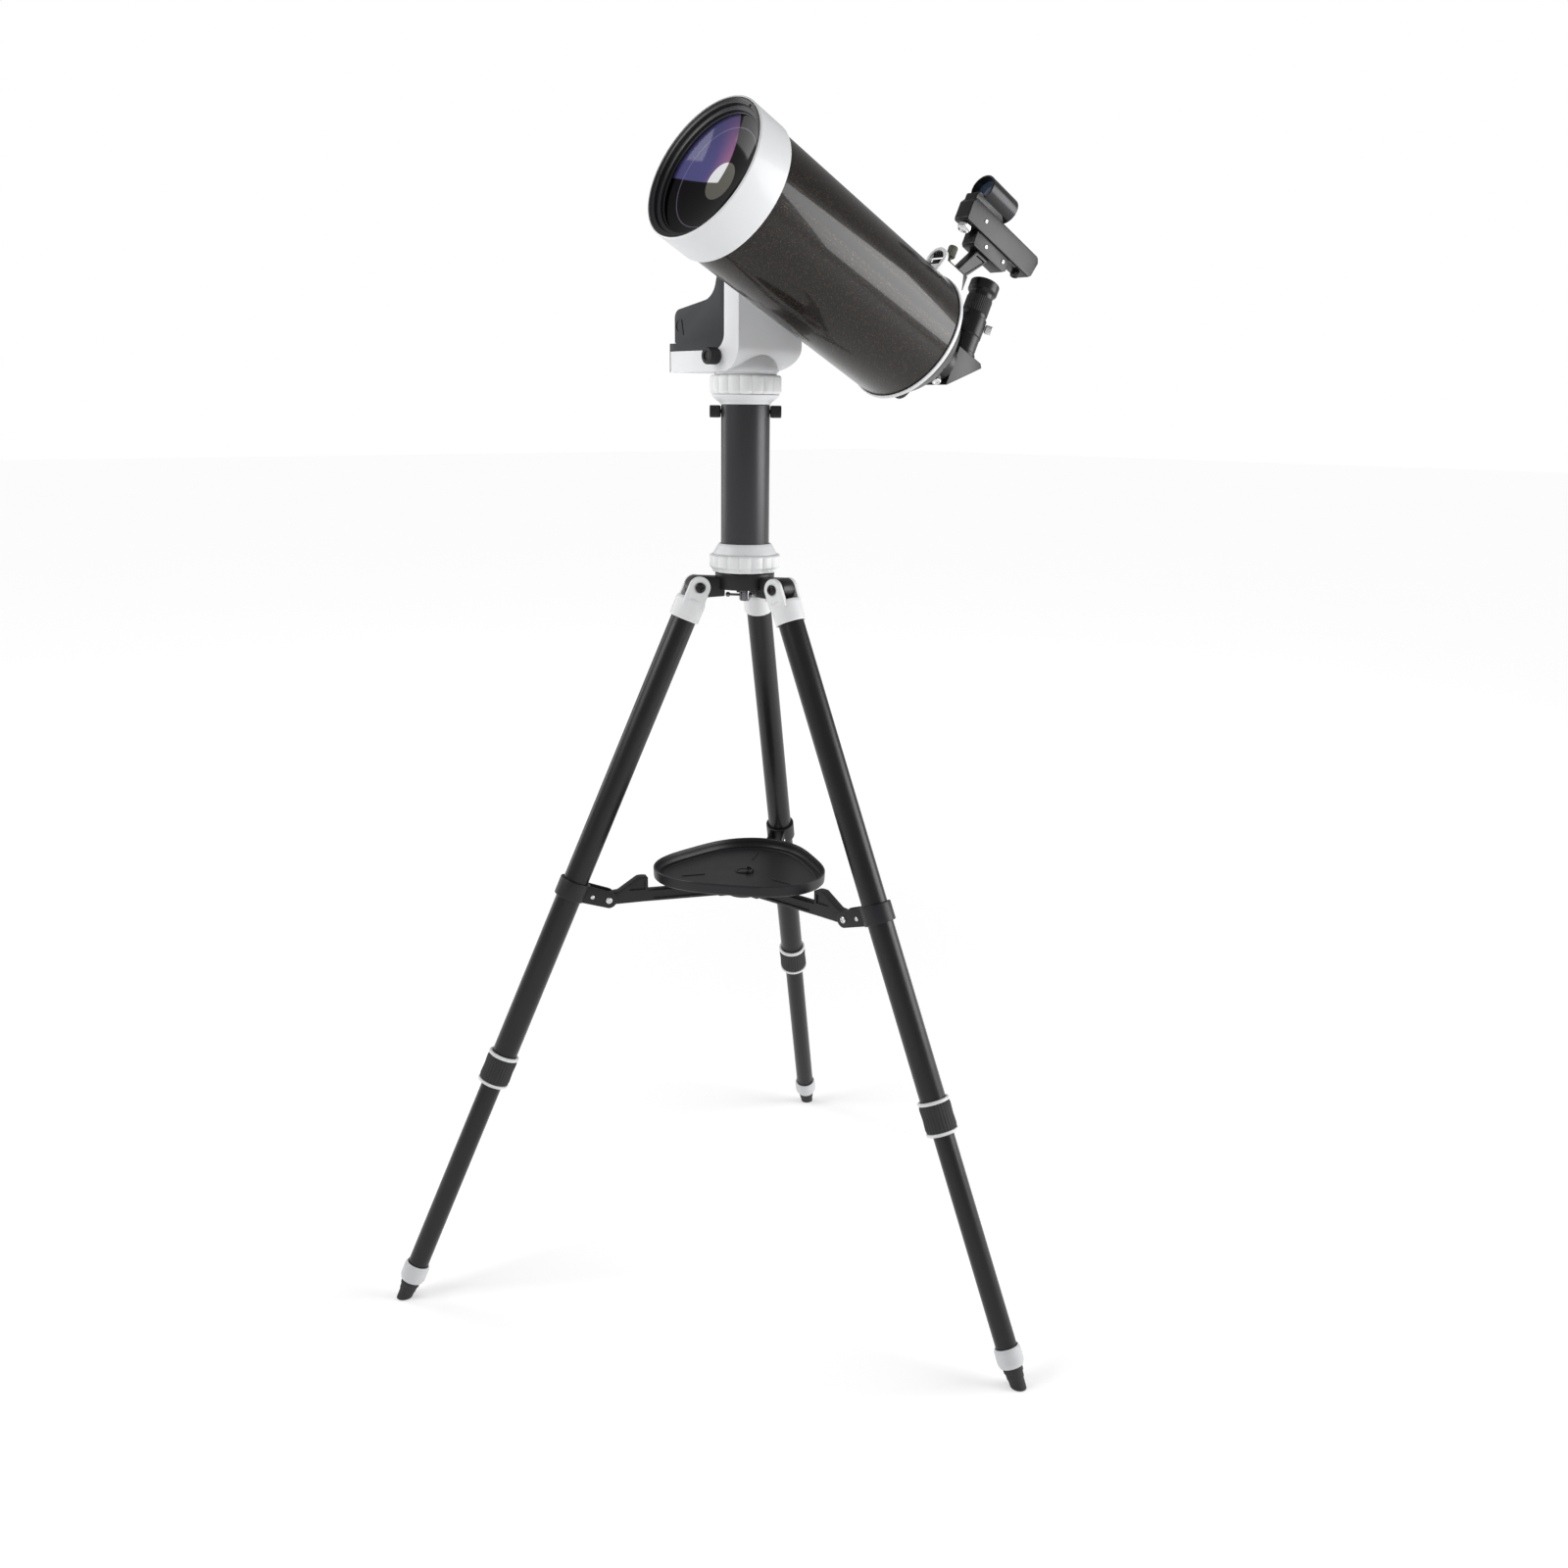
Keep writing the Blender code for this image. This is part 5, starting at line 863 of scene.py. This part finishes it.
def make_cover():
    shell = combined(slab(cover_outline(0), -36.6, 55.6, "Y"), "INTERSECT", slab(side_outline(0.4), -100, 41, "X"))
    shell = eased_edges(shell, 1.8, 4, 40)
    hollow = combined(slab(cover_outline(2.4), -34.2, 53.2, "Y"), "INTERSECT", slab(side_outline(2.8), -100, 41, "X"))
    shell = combined(shell, "DIFFERENCE", hollow)
    step = BOX + 23.3
    lip = brick((-90.7, -36.6, BOX), (-88.7, 55.6, step + 8.5), 0.6)
    ledge = brick((-89.7, -36.6, step), (-75.2, 55.6, step + 8.5), 1.0)
    shell = combined(shell, "UNION", lip, ledge)
    slot = slab([(-69.0, BOX + 57.5), (-67.4, BOX + 57.8), (-64.2, BOX + 41.0), (-65.8, BOX + 40.6)], -38, -35.4, "Y")
    crescent = slab(arc((-72.5, BOX + 50.5), 6.2, 95, 265, 20) + arc((-69.6, BOX + 50.5), 7.0, 250, 110, 20), -38,
                    -35.8, "Y")
    line = brick((-82, -38, step + 8.6), (-79, 57, step + 9.2))
    shell = combined(shell, "DIFFERENCE", slot, crescent, line)
    piece("battery_hood", shell, STAND, SLATE, "battery_cover", "battery_cover", 30)


def make_head_controls():
    lock = grip(9.2, 14.5, 2.5, 7.3, BLACK_PLASTIC, 26, 0.55, 0.62)
    ring = lathe([(6.2, 21.9), (6.2, 19.6), (5.0, 19.6), (5.0, 21.9)], 48, 0.2)
    piece("cover_lock_knob", joined(lock, ring), STAND @ move(-6, -30, BOX + 16.5) @ turn(90, "X"), BLACK_PLASTIC,
          "cover_lock",
          "cover_lock_screw")
    foot = CLUTCH_FOOT
    band = lobed([(38.4, foot + 20.6), (40.3, foot + 18.6), (40.3, foot + 3.0), (38.4, foot), (12.3, foot), (12.3,
            foot + 20.6)],
                 18, 1.5, 37.0, WHITE_PLASTIC, 0.35, 0.8, 288)
    piece("azimuth_clutch_band", band, STAND, WHITE_PLASTIC, "azimuth_clutch", "azimuth_clutch_ring")
    knob = lobed([(23.6, 11.6), (25.0, 10.4), (25.0, 1.2), (23.8, 0), (9.3, 0), (9.3, 11.6)], 12, 1.6, 22.0,
                 WHITE_PLASTIC, 0.35, 0.8)
    piece("altitude_clutch_band", knob, SWING @ move(31.6, 0, 0) @ turn(90, "Y"), WHITE_PLASTIC, "altitude_clutch",
          "altitude_clutch_knob")


def make_saddle():
    x = 43.5
    face = x + 10
    top = face + 8
    wall = 37.0
    outline = [(x, -31.3), (top, -31.3), (top, -19.3), (face, -22.3), (face, wall), (top, wall), (top, wall + 6),
               (x, wall + 6)]
    saddle = slab(outline, -45, 45, "Z", 0.9)
    saddle = combined(saddle, "DIFFERENCE", bar(3.3, (face + 4, 32, 0), (face + 4, 48, 0), 32, 0),
                      brick((x + 3, -33, 20), (x + 7, 45, 34)), brick((x + 3, -33, -34), (x + 7, 45, -20)))
    piece("saddle_plate", saddle, SWING, WHITE, "swing", "dovetail_saddle")
    jaw = slab([(face + 0.3, 22.3), (top, 19.3), (top, 31.3), (face + 0.3, 31.3)], -22, 22, "Z", 0.5)
    jaw = combined(jaw, "DIFFERENCE", bar(3.3, (face + 4, 23.8, 0), (face + 4, 40, 0), 32, 0))
    piece("clamping_jaw", jaw, SWING, ALUMINIUM, "saddle_jaw", "saddle_jaw")
    knob = grip(13.0, 19, 3.0, 43.3 - 28.3, BLACK_PLASTIC, 10, 1.6, 0.5)
    piece("saddle_knob_grip", knob, SWING @ move(face + 4, 28.3, 0) @ turn(-90, "X"), BLACK_PLASTIC, "saddle_knob",
          "saddle_clamp_knob")
    near = TUBE_X - sqrt(72.0 ** 2 - 19.0 ** 2) + 2
    bar_shape = slab([(face + 0.3, -22), (top, -19), (near, -19), (near, 19), (top, 19), (face + 0.3, 22)], -47.5,
                     102.5, "Z", 0.7)
    bar_shape = combined(bar_shape, "DIFFERENCE", bar(72.3, (TUBE_X, 0, -120), (TUBE_X, 0, 180), 192, 0))
    piece("dovetail_rail", bar_shape, SWING, BLACK_METAL, "ota", "dovetail_bar")


# ---- telescope -----------------------------------------------------------------------------------
def make_tube():
    barrel = lathe([(72, 175), (72, -112), (70.3, -112), (70.3, 175)], 192, 0.3)
    piece("lacquered_tube", barrel, TUBE, FLECKED, "ota", "optical_tube")
    lining = lathe([(70.2, 174.6), (70.2, -111.6), (69.9, -111.6), (69.9, 174.6)], 192, 0)
    piece("tube_lining", lining, TUBE, INNER_BLACK, "ota", ())
    cell = lathe([(73.6, 207.2), (74.9, 206.2), (74.9, 165.4), (74.1, 164.2), (72.3, 164.2), (72.3, 175.3), (63.7,
            175.3),
                  (63.7, 180.2), (66.8, 181.3), (66.8, 194), (73.3, 194), (73.3, 207.0)], 192, 0.8)
    piece("front_cell_ring", cell, TUBE, WHITE, "ota", "front_cell")
    ring = lathe([(72.4, 206.6), (73.0, 206.1), (73.0, 194.3), (62.5, 194.3), (62.5, 195.8), (63.6, 196.4), (64.0,
            199.6),
                  (67.6, 200.4), (68.2, 204.4), (70.4, 205.0)], 192, 0.5)
    piece("retaining_ring", ring, TUBE, BLACK_METAL, "ota", "corrector_retaining_ring")
    screws = ring_of(moved(cross_head(1.5, 0.8), move(0, 0, 204.7)), 3, 69.4, STEEL, 60.0)
    piece("retaining_screws", screws, TUBE, BLACK_METAL, "ota", ())
    curve = 190.0
    front = 193.7 - 66.5 ** 2 / (2 * curve)
    radii = [66.5 * i / 16 for i in range(17)]
    outline = [(r, front + r * r / (2 * curve)) for r in radii]
    outline += [(r, front + r * r / (2 * curve) - 12) for r in reversed(radii)]
    piece("corrector_glass", lathe(outline, 160, 0), TUBE, LENS, "ota", "corrector_lens")


def make_rear():
    outer = [(66.5, -115.0), (65.0, -122.0), (55.0, -136.0), (40.0, -150.0)]
    inner = [(38.0, -146.5), (51.5, -134.0), (61.5, -121.0), (63.0, -112.5)]
    cell = lathe([(69.8, -112.8), (69.8, -114.6), *outer, (14.4, -150), (14.4, -146.5), *inner, (68.0, -112.5)],
                 192, 1.2)
    boss = bar(11, (-43, -30, -128), (-43, -30, -150.6), 64, 0.8)
    cell = combined(cell, "UNION", boss)
    cell = combined(cell, "DIFFERENCE", bar(3.3, (-43, -30, -110), (-43, -30, -160), 32, 0))
    baffle = lathe([(13, 60), (16, -50), (16, -146.6), (14.4, -146.6), (14.4, -50), (11.8, 60)], 96, 0.2)
    piece("rear_casting", joined(cell, baffle), TUBE, BLACK_METAL, "ota", "rear_cell")
    rim = lathe([(73.2, -109.1), (73.8, -109.7), (73.8, -113.4), (73.0, -114.1), (69.8, -114.1), (69.8, -112.3),
                 (72.3, -112.3),
                 (72.3, -109.1)], 192, 0.4)
    piece("rear_rim", rim, TUBE, WHITE, "ota", ())
    screws = ring_of(moved(cross_head(1.8, 1.0), turn(180, "X") @ move(0, 0, 136.6)), 6, 53.0, STEEL, 30.0)
    piece("rear_screws", screws, TUBE, BLACK_METAL, "ota", ())
    start = -107.0
    knob = grip(13.0, 24, 3.0, start + 150.9, BLACK_PLASTIC, 28, 0.9, 0.6)
    piece("focus_grip", knob, TUBE @ move(-43, -30, start) @ turn(180, "X"), BLACK_PLASTIC, "focus", "focus_knob")
    rings = [16.5 + 49.5 * i / 12 for i in range(13)]
    profile = [(r, -80 - 4.4 * (1 - (r / 66.0) ** 2)) for r in rings] + [(66.0, -98), (16.5, -98)]
    piece("main_mirror", lathe(profile, 160, 0), TUBE, MIRROR, "mirror", "primary_mirror")
    back = lobed([(30.0, -150.3), (31.0, -151.2), (31.0, -154.6), (29.6, -155.4), (24.6, -156.6), (16.2, -156.6),
                  (16.2, -150.3)],
                 36, 0.5, 29.2, BLACK_METAL, 0.5, 0.4)
    sleeve = lathe([(24.0, -156.4), (24.0, -166), (23.2, -167), (23.2, -174.2), (22.4, -175), (16.2, -175), (16.2,
            -156.4)], 120, 0.5)
    hole = moved(bar(2.3, (12, 0, -163), (30, 0, -163), 32, 0), turn(-60, "Z"))
    sleeve = combined(sleeve, "DIFFERENCE", hole)
    piece("visual_back_sleeve", joined(back, sleeve), TUBE, BLACK_METAL, "ota", "visual_back")
    screw = grip(5.0, 8.5, 2.0, 24.3 - 16.5, STEEL, 18, 0.35, 0.4)
    piece("visual_back_thumbscrew", screw, TUBE @ turn(-60, "Z") @ move(16.5, 0, -163) @ turn(90, "Y"), STEEL,
          "visual_back_screw",
          "visual_back_screw")


def diagonal_outline(inset):
    slant = inset * sqrt(2)
    top = 23.0 - inset
    front = 22.0 - inset
    total = -4.0 + slant
    spread = 42.0 - slant
    outline = [(top, front), (top, top - spread), ((total + spread) / 2, (total - spread) / 2)]
    return outline + ([(total - front, front)] if inset else [(-24, 20), (-24, front)])


def make_diagonal():
    body = slab(diagonal_outline(0), -18, 18, "X", 1.0)
    nose = lathe([(15.9, 44), (15.9, 30), (17.4, 29), (17.4, 24), (15.9, 23), (15.9, 17), (13.5, 17), (13.5, 44)],
                 96, 0.4)
    holder = lathe([(16.4, 69), (16.4, 47), (15.6, 46), (15.6, 17), (13.9, 17), (13.9, 69)], 96, 0.5)
    body = combined(body, "UNION", bar(17.2, (0, 20, 0), (0, 27, 0), 96, 0.8))
    body = combined(body, "DIFFERENCE", slab(diagonal_outline(3), -15, 15, "X"), bar(13.5, (0, 0, 10), (0, 0, 60),
            96, 0),
                    bar(13.9, (0, 14, 0), (0, 80, 0), 96, 0))
    holder = moved(holder, turn(-90, "X"))
    out = Vector((sin(radians(135)), 0, cos(radians(135))))
    level = Vector((0, 62, 0))
    holder = combined(holder, "DIFFERENCE", bar(2.3, level + out * 8, level + out * 22, 32, 0))
    piece("diagonal_case", joined(body, nose, holder), TURRET, FINDER_BLACK, "diagonal", "diagonal_housing")
    top = 23 - 4.2
    front = 22 - 4.2
    total = -4 + 4.2 * sqrt(2)
    prism = slab([(top, front), (top, total - top), (total - front, front)], -14.5, 14.5, "X", 0.4)
    piece("prism_block", prism, TURRET, PRISM_GLASS, "diagonal", "diagonal_prism")
    start = 14.2
    screw = grip(5.0, 8.5, 2.0, 16.7 - start, STEEL, 18, 0.35, 0.4)
    place = TURRET @ move(start * out.x, 62, start * out.z) @ turn(135, "Y")
    piece("eyepiece_thumbscrew", screw, place, STEEL, "eyepiece_screw", "eyepiece_screw")
    barrel = lathe([(0, 106.4), (9.4, 106.4), (10.2, 109.0), (12.6, 111.4), (13.4, 112), (16.2, 112), (17.0,
            111.2), (17.0, 101.6),
                    (16.6, 100.6), (14.6, 98.6), (14.2, 97.6), (14.2, 69.3), (13.6, 69.3), (13.6, 26), (12,
                            26), (12, 67.3), (0, 67.3)],
                   96, 0.4)
    lay = turn(-90, "X")
    piece("eyepiece_barrel", moved(barrel, lay), TURRET, FINDER_BLACK, "eyepiece", "eyepiece")
    band = lobed([(14.9, 93), (14.9, 74), (14.0, 74), (14.0, 93)], 40, 0.5, 14.4, RUBBER, 0.5, 0.3)
    piece("eyepiece_band", moved(band, lay), TURRET, RUBBER, "eyepiece", ())
    eye = lathe([(0, 107.8), (3, 107.6), (6, 107.2), (9.2, 106.5), (0, 106.2)], 64, 0)
    piece("eye_lens", moved(eye, lay), TURRET, EYE_GLASS, "eyepiece", ())


# ---- finder --------------------------------------------------------------------------------------
def make_shoe():
    side = [(68.5, -104), (93.5, -113), (93.5, -148), (68.5, -157)]
    shoe = slab(side, -14, 14, "X", 1.0)
    arch = [(-14, 84), (14, 84)] + arc((0, 93.5), 14, 0, 180, 30)
    shoe = combined(shoe, "UNION", slab(arch, -118, -113, "Z", 0.8))
    window = [(-10.4, 84)] + [(10.4, 84)] + arc((0, 93.5), 10.4, 0, 180, 30)
    shoe = combined(shoe, "DIFFERENCE", brick((-11, 80, -190), (11, 140, -118)), slab(window, -122, -110, "Z"),
                    bar(74.1, (0, 0, -116.1), (0, 0, 20), 192, 0))
    piece("finder_shoe_body", shoe, TUBE, WHITE_PLASTIC, "ota", "finder_shoe", 30)
    lining = slab([(-10.2, 97.3), (10.2, 97.3)] + arc((0, 97.5), 6.6, 0, 180, 24), -117.6, -115.4, "Z", 0.3)
    ribs = [brick((x - 0.5, 97.3, -115.5), (x + 0.5, 102.0, -114.4), 0.2) for x in (-6, -3, 0, 3, 6)]
    piece("shoe_lining", joined(lining, *ribs), TUBE, INNER_BLACK, "ota", ())
    screw = grip(5.4, 13, 2.2, 16, OLIVE, 16, 0.5, 0.5)
    piece("finder_lock_knob", screw, TUBE @ move(-6, 94, -138) @ turn(-90, "X"), OLIVE, "shoe_screw",
          "finder_shoe_screw")


def make_finder():
    upper = [(178, -131)] + [(172, -127.2), (152, -127), (150, -129)]
    upper += [(150, -250), (154, -254), (172, -258), (177, -255), (178, -252)]
    body = slab(upper, -10, 10, "X", 1.2)
    hump = slab([(150, -130), (184, -130), (193, -140), (193, -166), (186, -178), (177, -186), (150, -186)], -8.4,
                8.4, "X", 1.4)
    foot = brick((-10.7, 80.3, -158), (10.7, 97, -119.2), 0.8)
    stalk = slab([(96, -143), (133, -163), (133, -186), (96, -158)], -6, 6, "X", 1.0)
    stand = slab([(132, -153), (134.5, -150), (149, -150), (149, -213), (136, -213), (132, -208)], -9, 9, "X", 0.9)
    rail = slab([(148.4, -156), (150.6, -156), (150.6, -226), (148.4, -226)], -8.0, 8.0, "X", 0.4)
    ring = lathe([(15.0, -142), (15.8, -142.8), (15.8, -190.4), (15.0, -191), (13.8, -191), (13.8, -142)], 120, 0.4)
    ring = moved(ring, move(0, 198, 0))
    solid = combined(body, "UNION", hump)
    bore = bar(13.9, (0, 198, -200), (0, 198, -130), 96, 0)
    solid = combined(solid, "DIFFERENCE", bore, bar(2.3, (0, 145, -137), (0, 154, -137), 32, 0),
                     brick((-7, 176.8, -246), (7, 180, -206)))
    foot = combined(foot, "DIFFERENCE", bar(2.5, (-6, 90, -138), (-6, 100, -138), 32, 0))
    stalk = combined(stalk, "DIFFERENCE", slab([(100, -148), (128, -165), (128, -180), (100, -158)], 4.4, 8, "X"),
                     slab([(100, -148), (128, -165), (128, -180), (100, -158)], -8, -4.4, "X"))
    piece("finder_case", joined(solid, foot, stalk, stand, rail), TUBE, FINDER_BLACK, "ota", "finder_body",
          30)
    piece("finder_ring", ring, TUBE, SATIN_TUBE, "ota", ())
    glass = lathe([(0, -150.6), (13.7, -150.6), (13.7, -151.8), (0, -151.8)], 96, 0.2)
    piece("finder_window", moved(glass, move(0, 198, 0)), TUBE, EYE_GLASS, "ota", ())
    heads = []
    for station, up, side in ((-156, 164, 10.0), (-170, 141, 9.0), (-203, 142, 9.0)):
        heads.append(moved(SCREW_SMALL, move(side - 0.2, up, station) @ turn(90, "Y")))
        heads.append(moved(SCREW_SMALL, move(0.2 - side, up, station) @ turn(-90, "Y")))
    piece("finder_screws", joined(*heads), TUBE, STEEL, "ota", ())
    low = grip(5.0, 6.0, 3.0, 1.0, BLACK_PLASTIC, 20, 0.5, 0.4)
    top = grip(3.5, 3.6, 2.0, 0.6, BLACK_PLASTIC, 16, 0.4, 0.3)
    front = grip(4.2, 6.0, 2.4, 1.0, BLACK_PLASTIC, 18, 0.4, 0.4)
    knobs = joined(moved(low, move(0, 151, -237) @ turn(90, "X")), moved(top, move(0, 177.8, -230) @ turn(-90, "X")),
                   moved(front, move(0, 142, -152) @ turn(180, "X") @ move(0, 0, -2)))
    piece("finder_adjusters", knobs, TUBE, BLACK_PLASTIC, "ota", ())
    power = grip(7.5, 7.0, 2.0, 3.3, STEEL, 26, 0.4, 0.66)
    piece("finder_dial", power, TUBE @ move(0, 153, -137) @ turn(90, "X"), STEEL, "power_knob",
          "finder_power_knob")


# ---- inside pieces keep their solids and get a finish ----------------------------------------------
def dress(node, finish):
    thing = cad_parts[node]
    thing.data.materials.clear()
    thing.data.materials.append(finish.material)


# ---- studio --------------------------------------------------------------------------------------
def area(name, spot, aim, size, power, colour=(1, 1, 1), tall=None):
    data = bpy.data.lights.new(name, "AREA")
    data.shape = "RECTANGLE"
    data.size = size
    data.size_y = tall or size
    data.energy = power
    data.color = colour
    lamp = bpy.data.objects.new(name, data)
    bpy.context.scene.collection.objects.link(lamp)
    lamp.location = spot
    lamp.rotation_euler = (Vector(aim) - Vector(spot)).to_track_quat("-Z", "Y").to_euler()


def studio():
    world = bpy.data.worlds.new("studio")
    bpy.context.scene.world = world
    world.use_nodes = True
    tree = world.node_tree
    seen = tree.nodes.new("ShaderNodeLightPath")
    level = tree.nodes.new("ShaderNodeMapRange")
    level.inputs["To Min"].default_value = 0.36
    level.inputs["To Max"].default_value = 1.0
    tree.links.new(seen.outputs["Is Camera Ray"], level.inputs["Value"])
    tree.links.new(level.outputs[0], tree.nodes["Background"].inputs["Strength"])
    tree.nodes["Background"].inputs["Color"].default_value = (1, 1, 1, 1)
    floor = bpy.data.objects.new("floor", brick((-30, -30, -0.02), (30, 30, -0.001)))
    bpy.context.scene.collection.objects.link(floor)
    finish = Finish("pale_floor")
    pale = finish.mix(finish.noise(0.6, 2.0), (0.84, 0.84, 0.84), (0.87, 0.87, 0.87))
    reach = finish.node("ShaderNodeVectorMath", {"operation": "LENGTH"}, [finish.place], "Value")
    glow = finish.mix(reach.between(0.8, 3.2), (0.34, 0.34, 0.34), (0.66, 0.66, 0.66))
    finish.wear(Base_Color=pale, Roughness=0.9, Emission_Color=glow, Emission_Strength=1.0)
    floor.data.materials.append(finish.material)
    area("side", (1.95, 1.85, 1.2), (0.05, 0, 1.15), 1.9, 60, tall=1.6)
    area("key", (-0.9, -2.5, 2.5), (0.05, 0, 1.0), 1.6, 40, tall=1.2)
    area("left", (-2.4, -0.9, 1.5), (0, 0, 0.9), 1.0, 14, tall=2.0)


def camera():
    data = bpy.data.cameras.new("camera")
    data.sensor_width = 36.0
    data.lens = 36.0 * 1527.43 / 1600
    data.shift_x = 0.00884
    data.shift_y = -0.01488
    data.clip_end = 100
    thing = bpy.data.objects.new("camera", data)
    bpy.context.scene.collection.objects.link(thing)
    right = Vector((0.66333, 0.74828, 0.00868))
    up = Vector((-0.17595, 0.14468, 0.97371))
    back = Vector((0.72735, -0.64742, 0.22763))
    place = Matrix((right, up, back)).transposed().to_4x4()
    place.translation = Vector((1308.63 + AXIS_X, -1123.16 + AXIS_Y, 1036.74)) * 0.001
    thing.matrix_world = place
    bpy.context.scene.camera = thing
    bpy.context.scene.view_settings.view_transform = "Standard"


make_tripod_hub()
make_hinge_bolts()
make_legs()
make_spreader()
make_tray()
make_pillar()
make_head_body()
make_cover()
make_head_controls()
make_saddle()
make_tube()
make_rear()
make_diagonal()
make_shoe()
make_finder()
for inside, look in (("azimuth_axle", BRASS), ("altitude_axle", BRASS), ("battery_pack", STEEL), ("drive_unit", ALUMINIUM)):
    dress(inside, look)
studio()
camera()
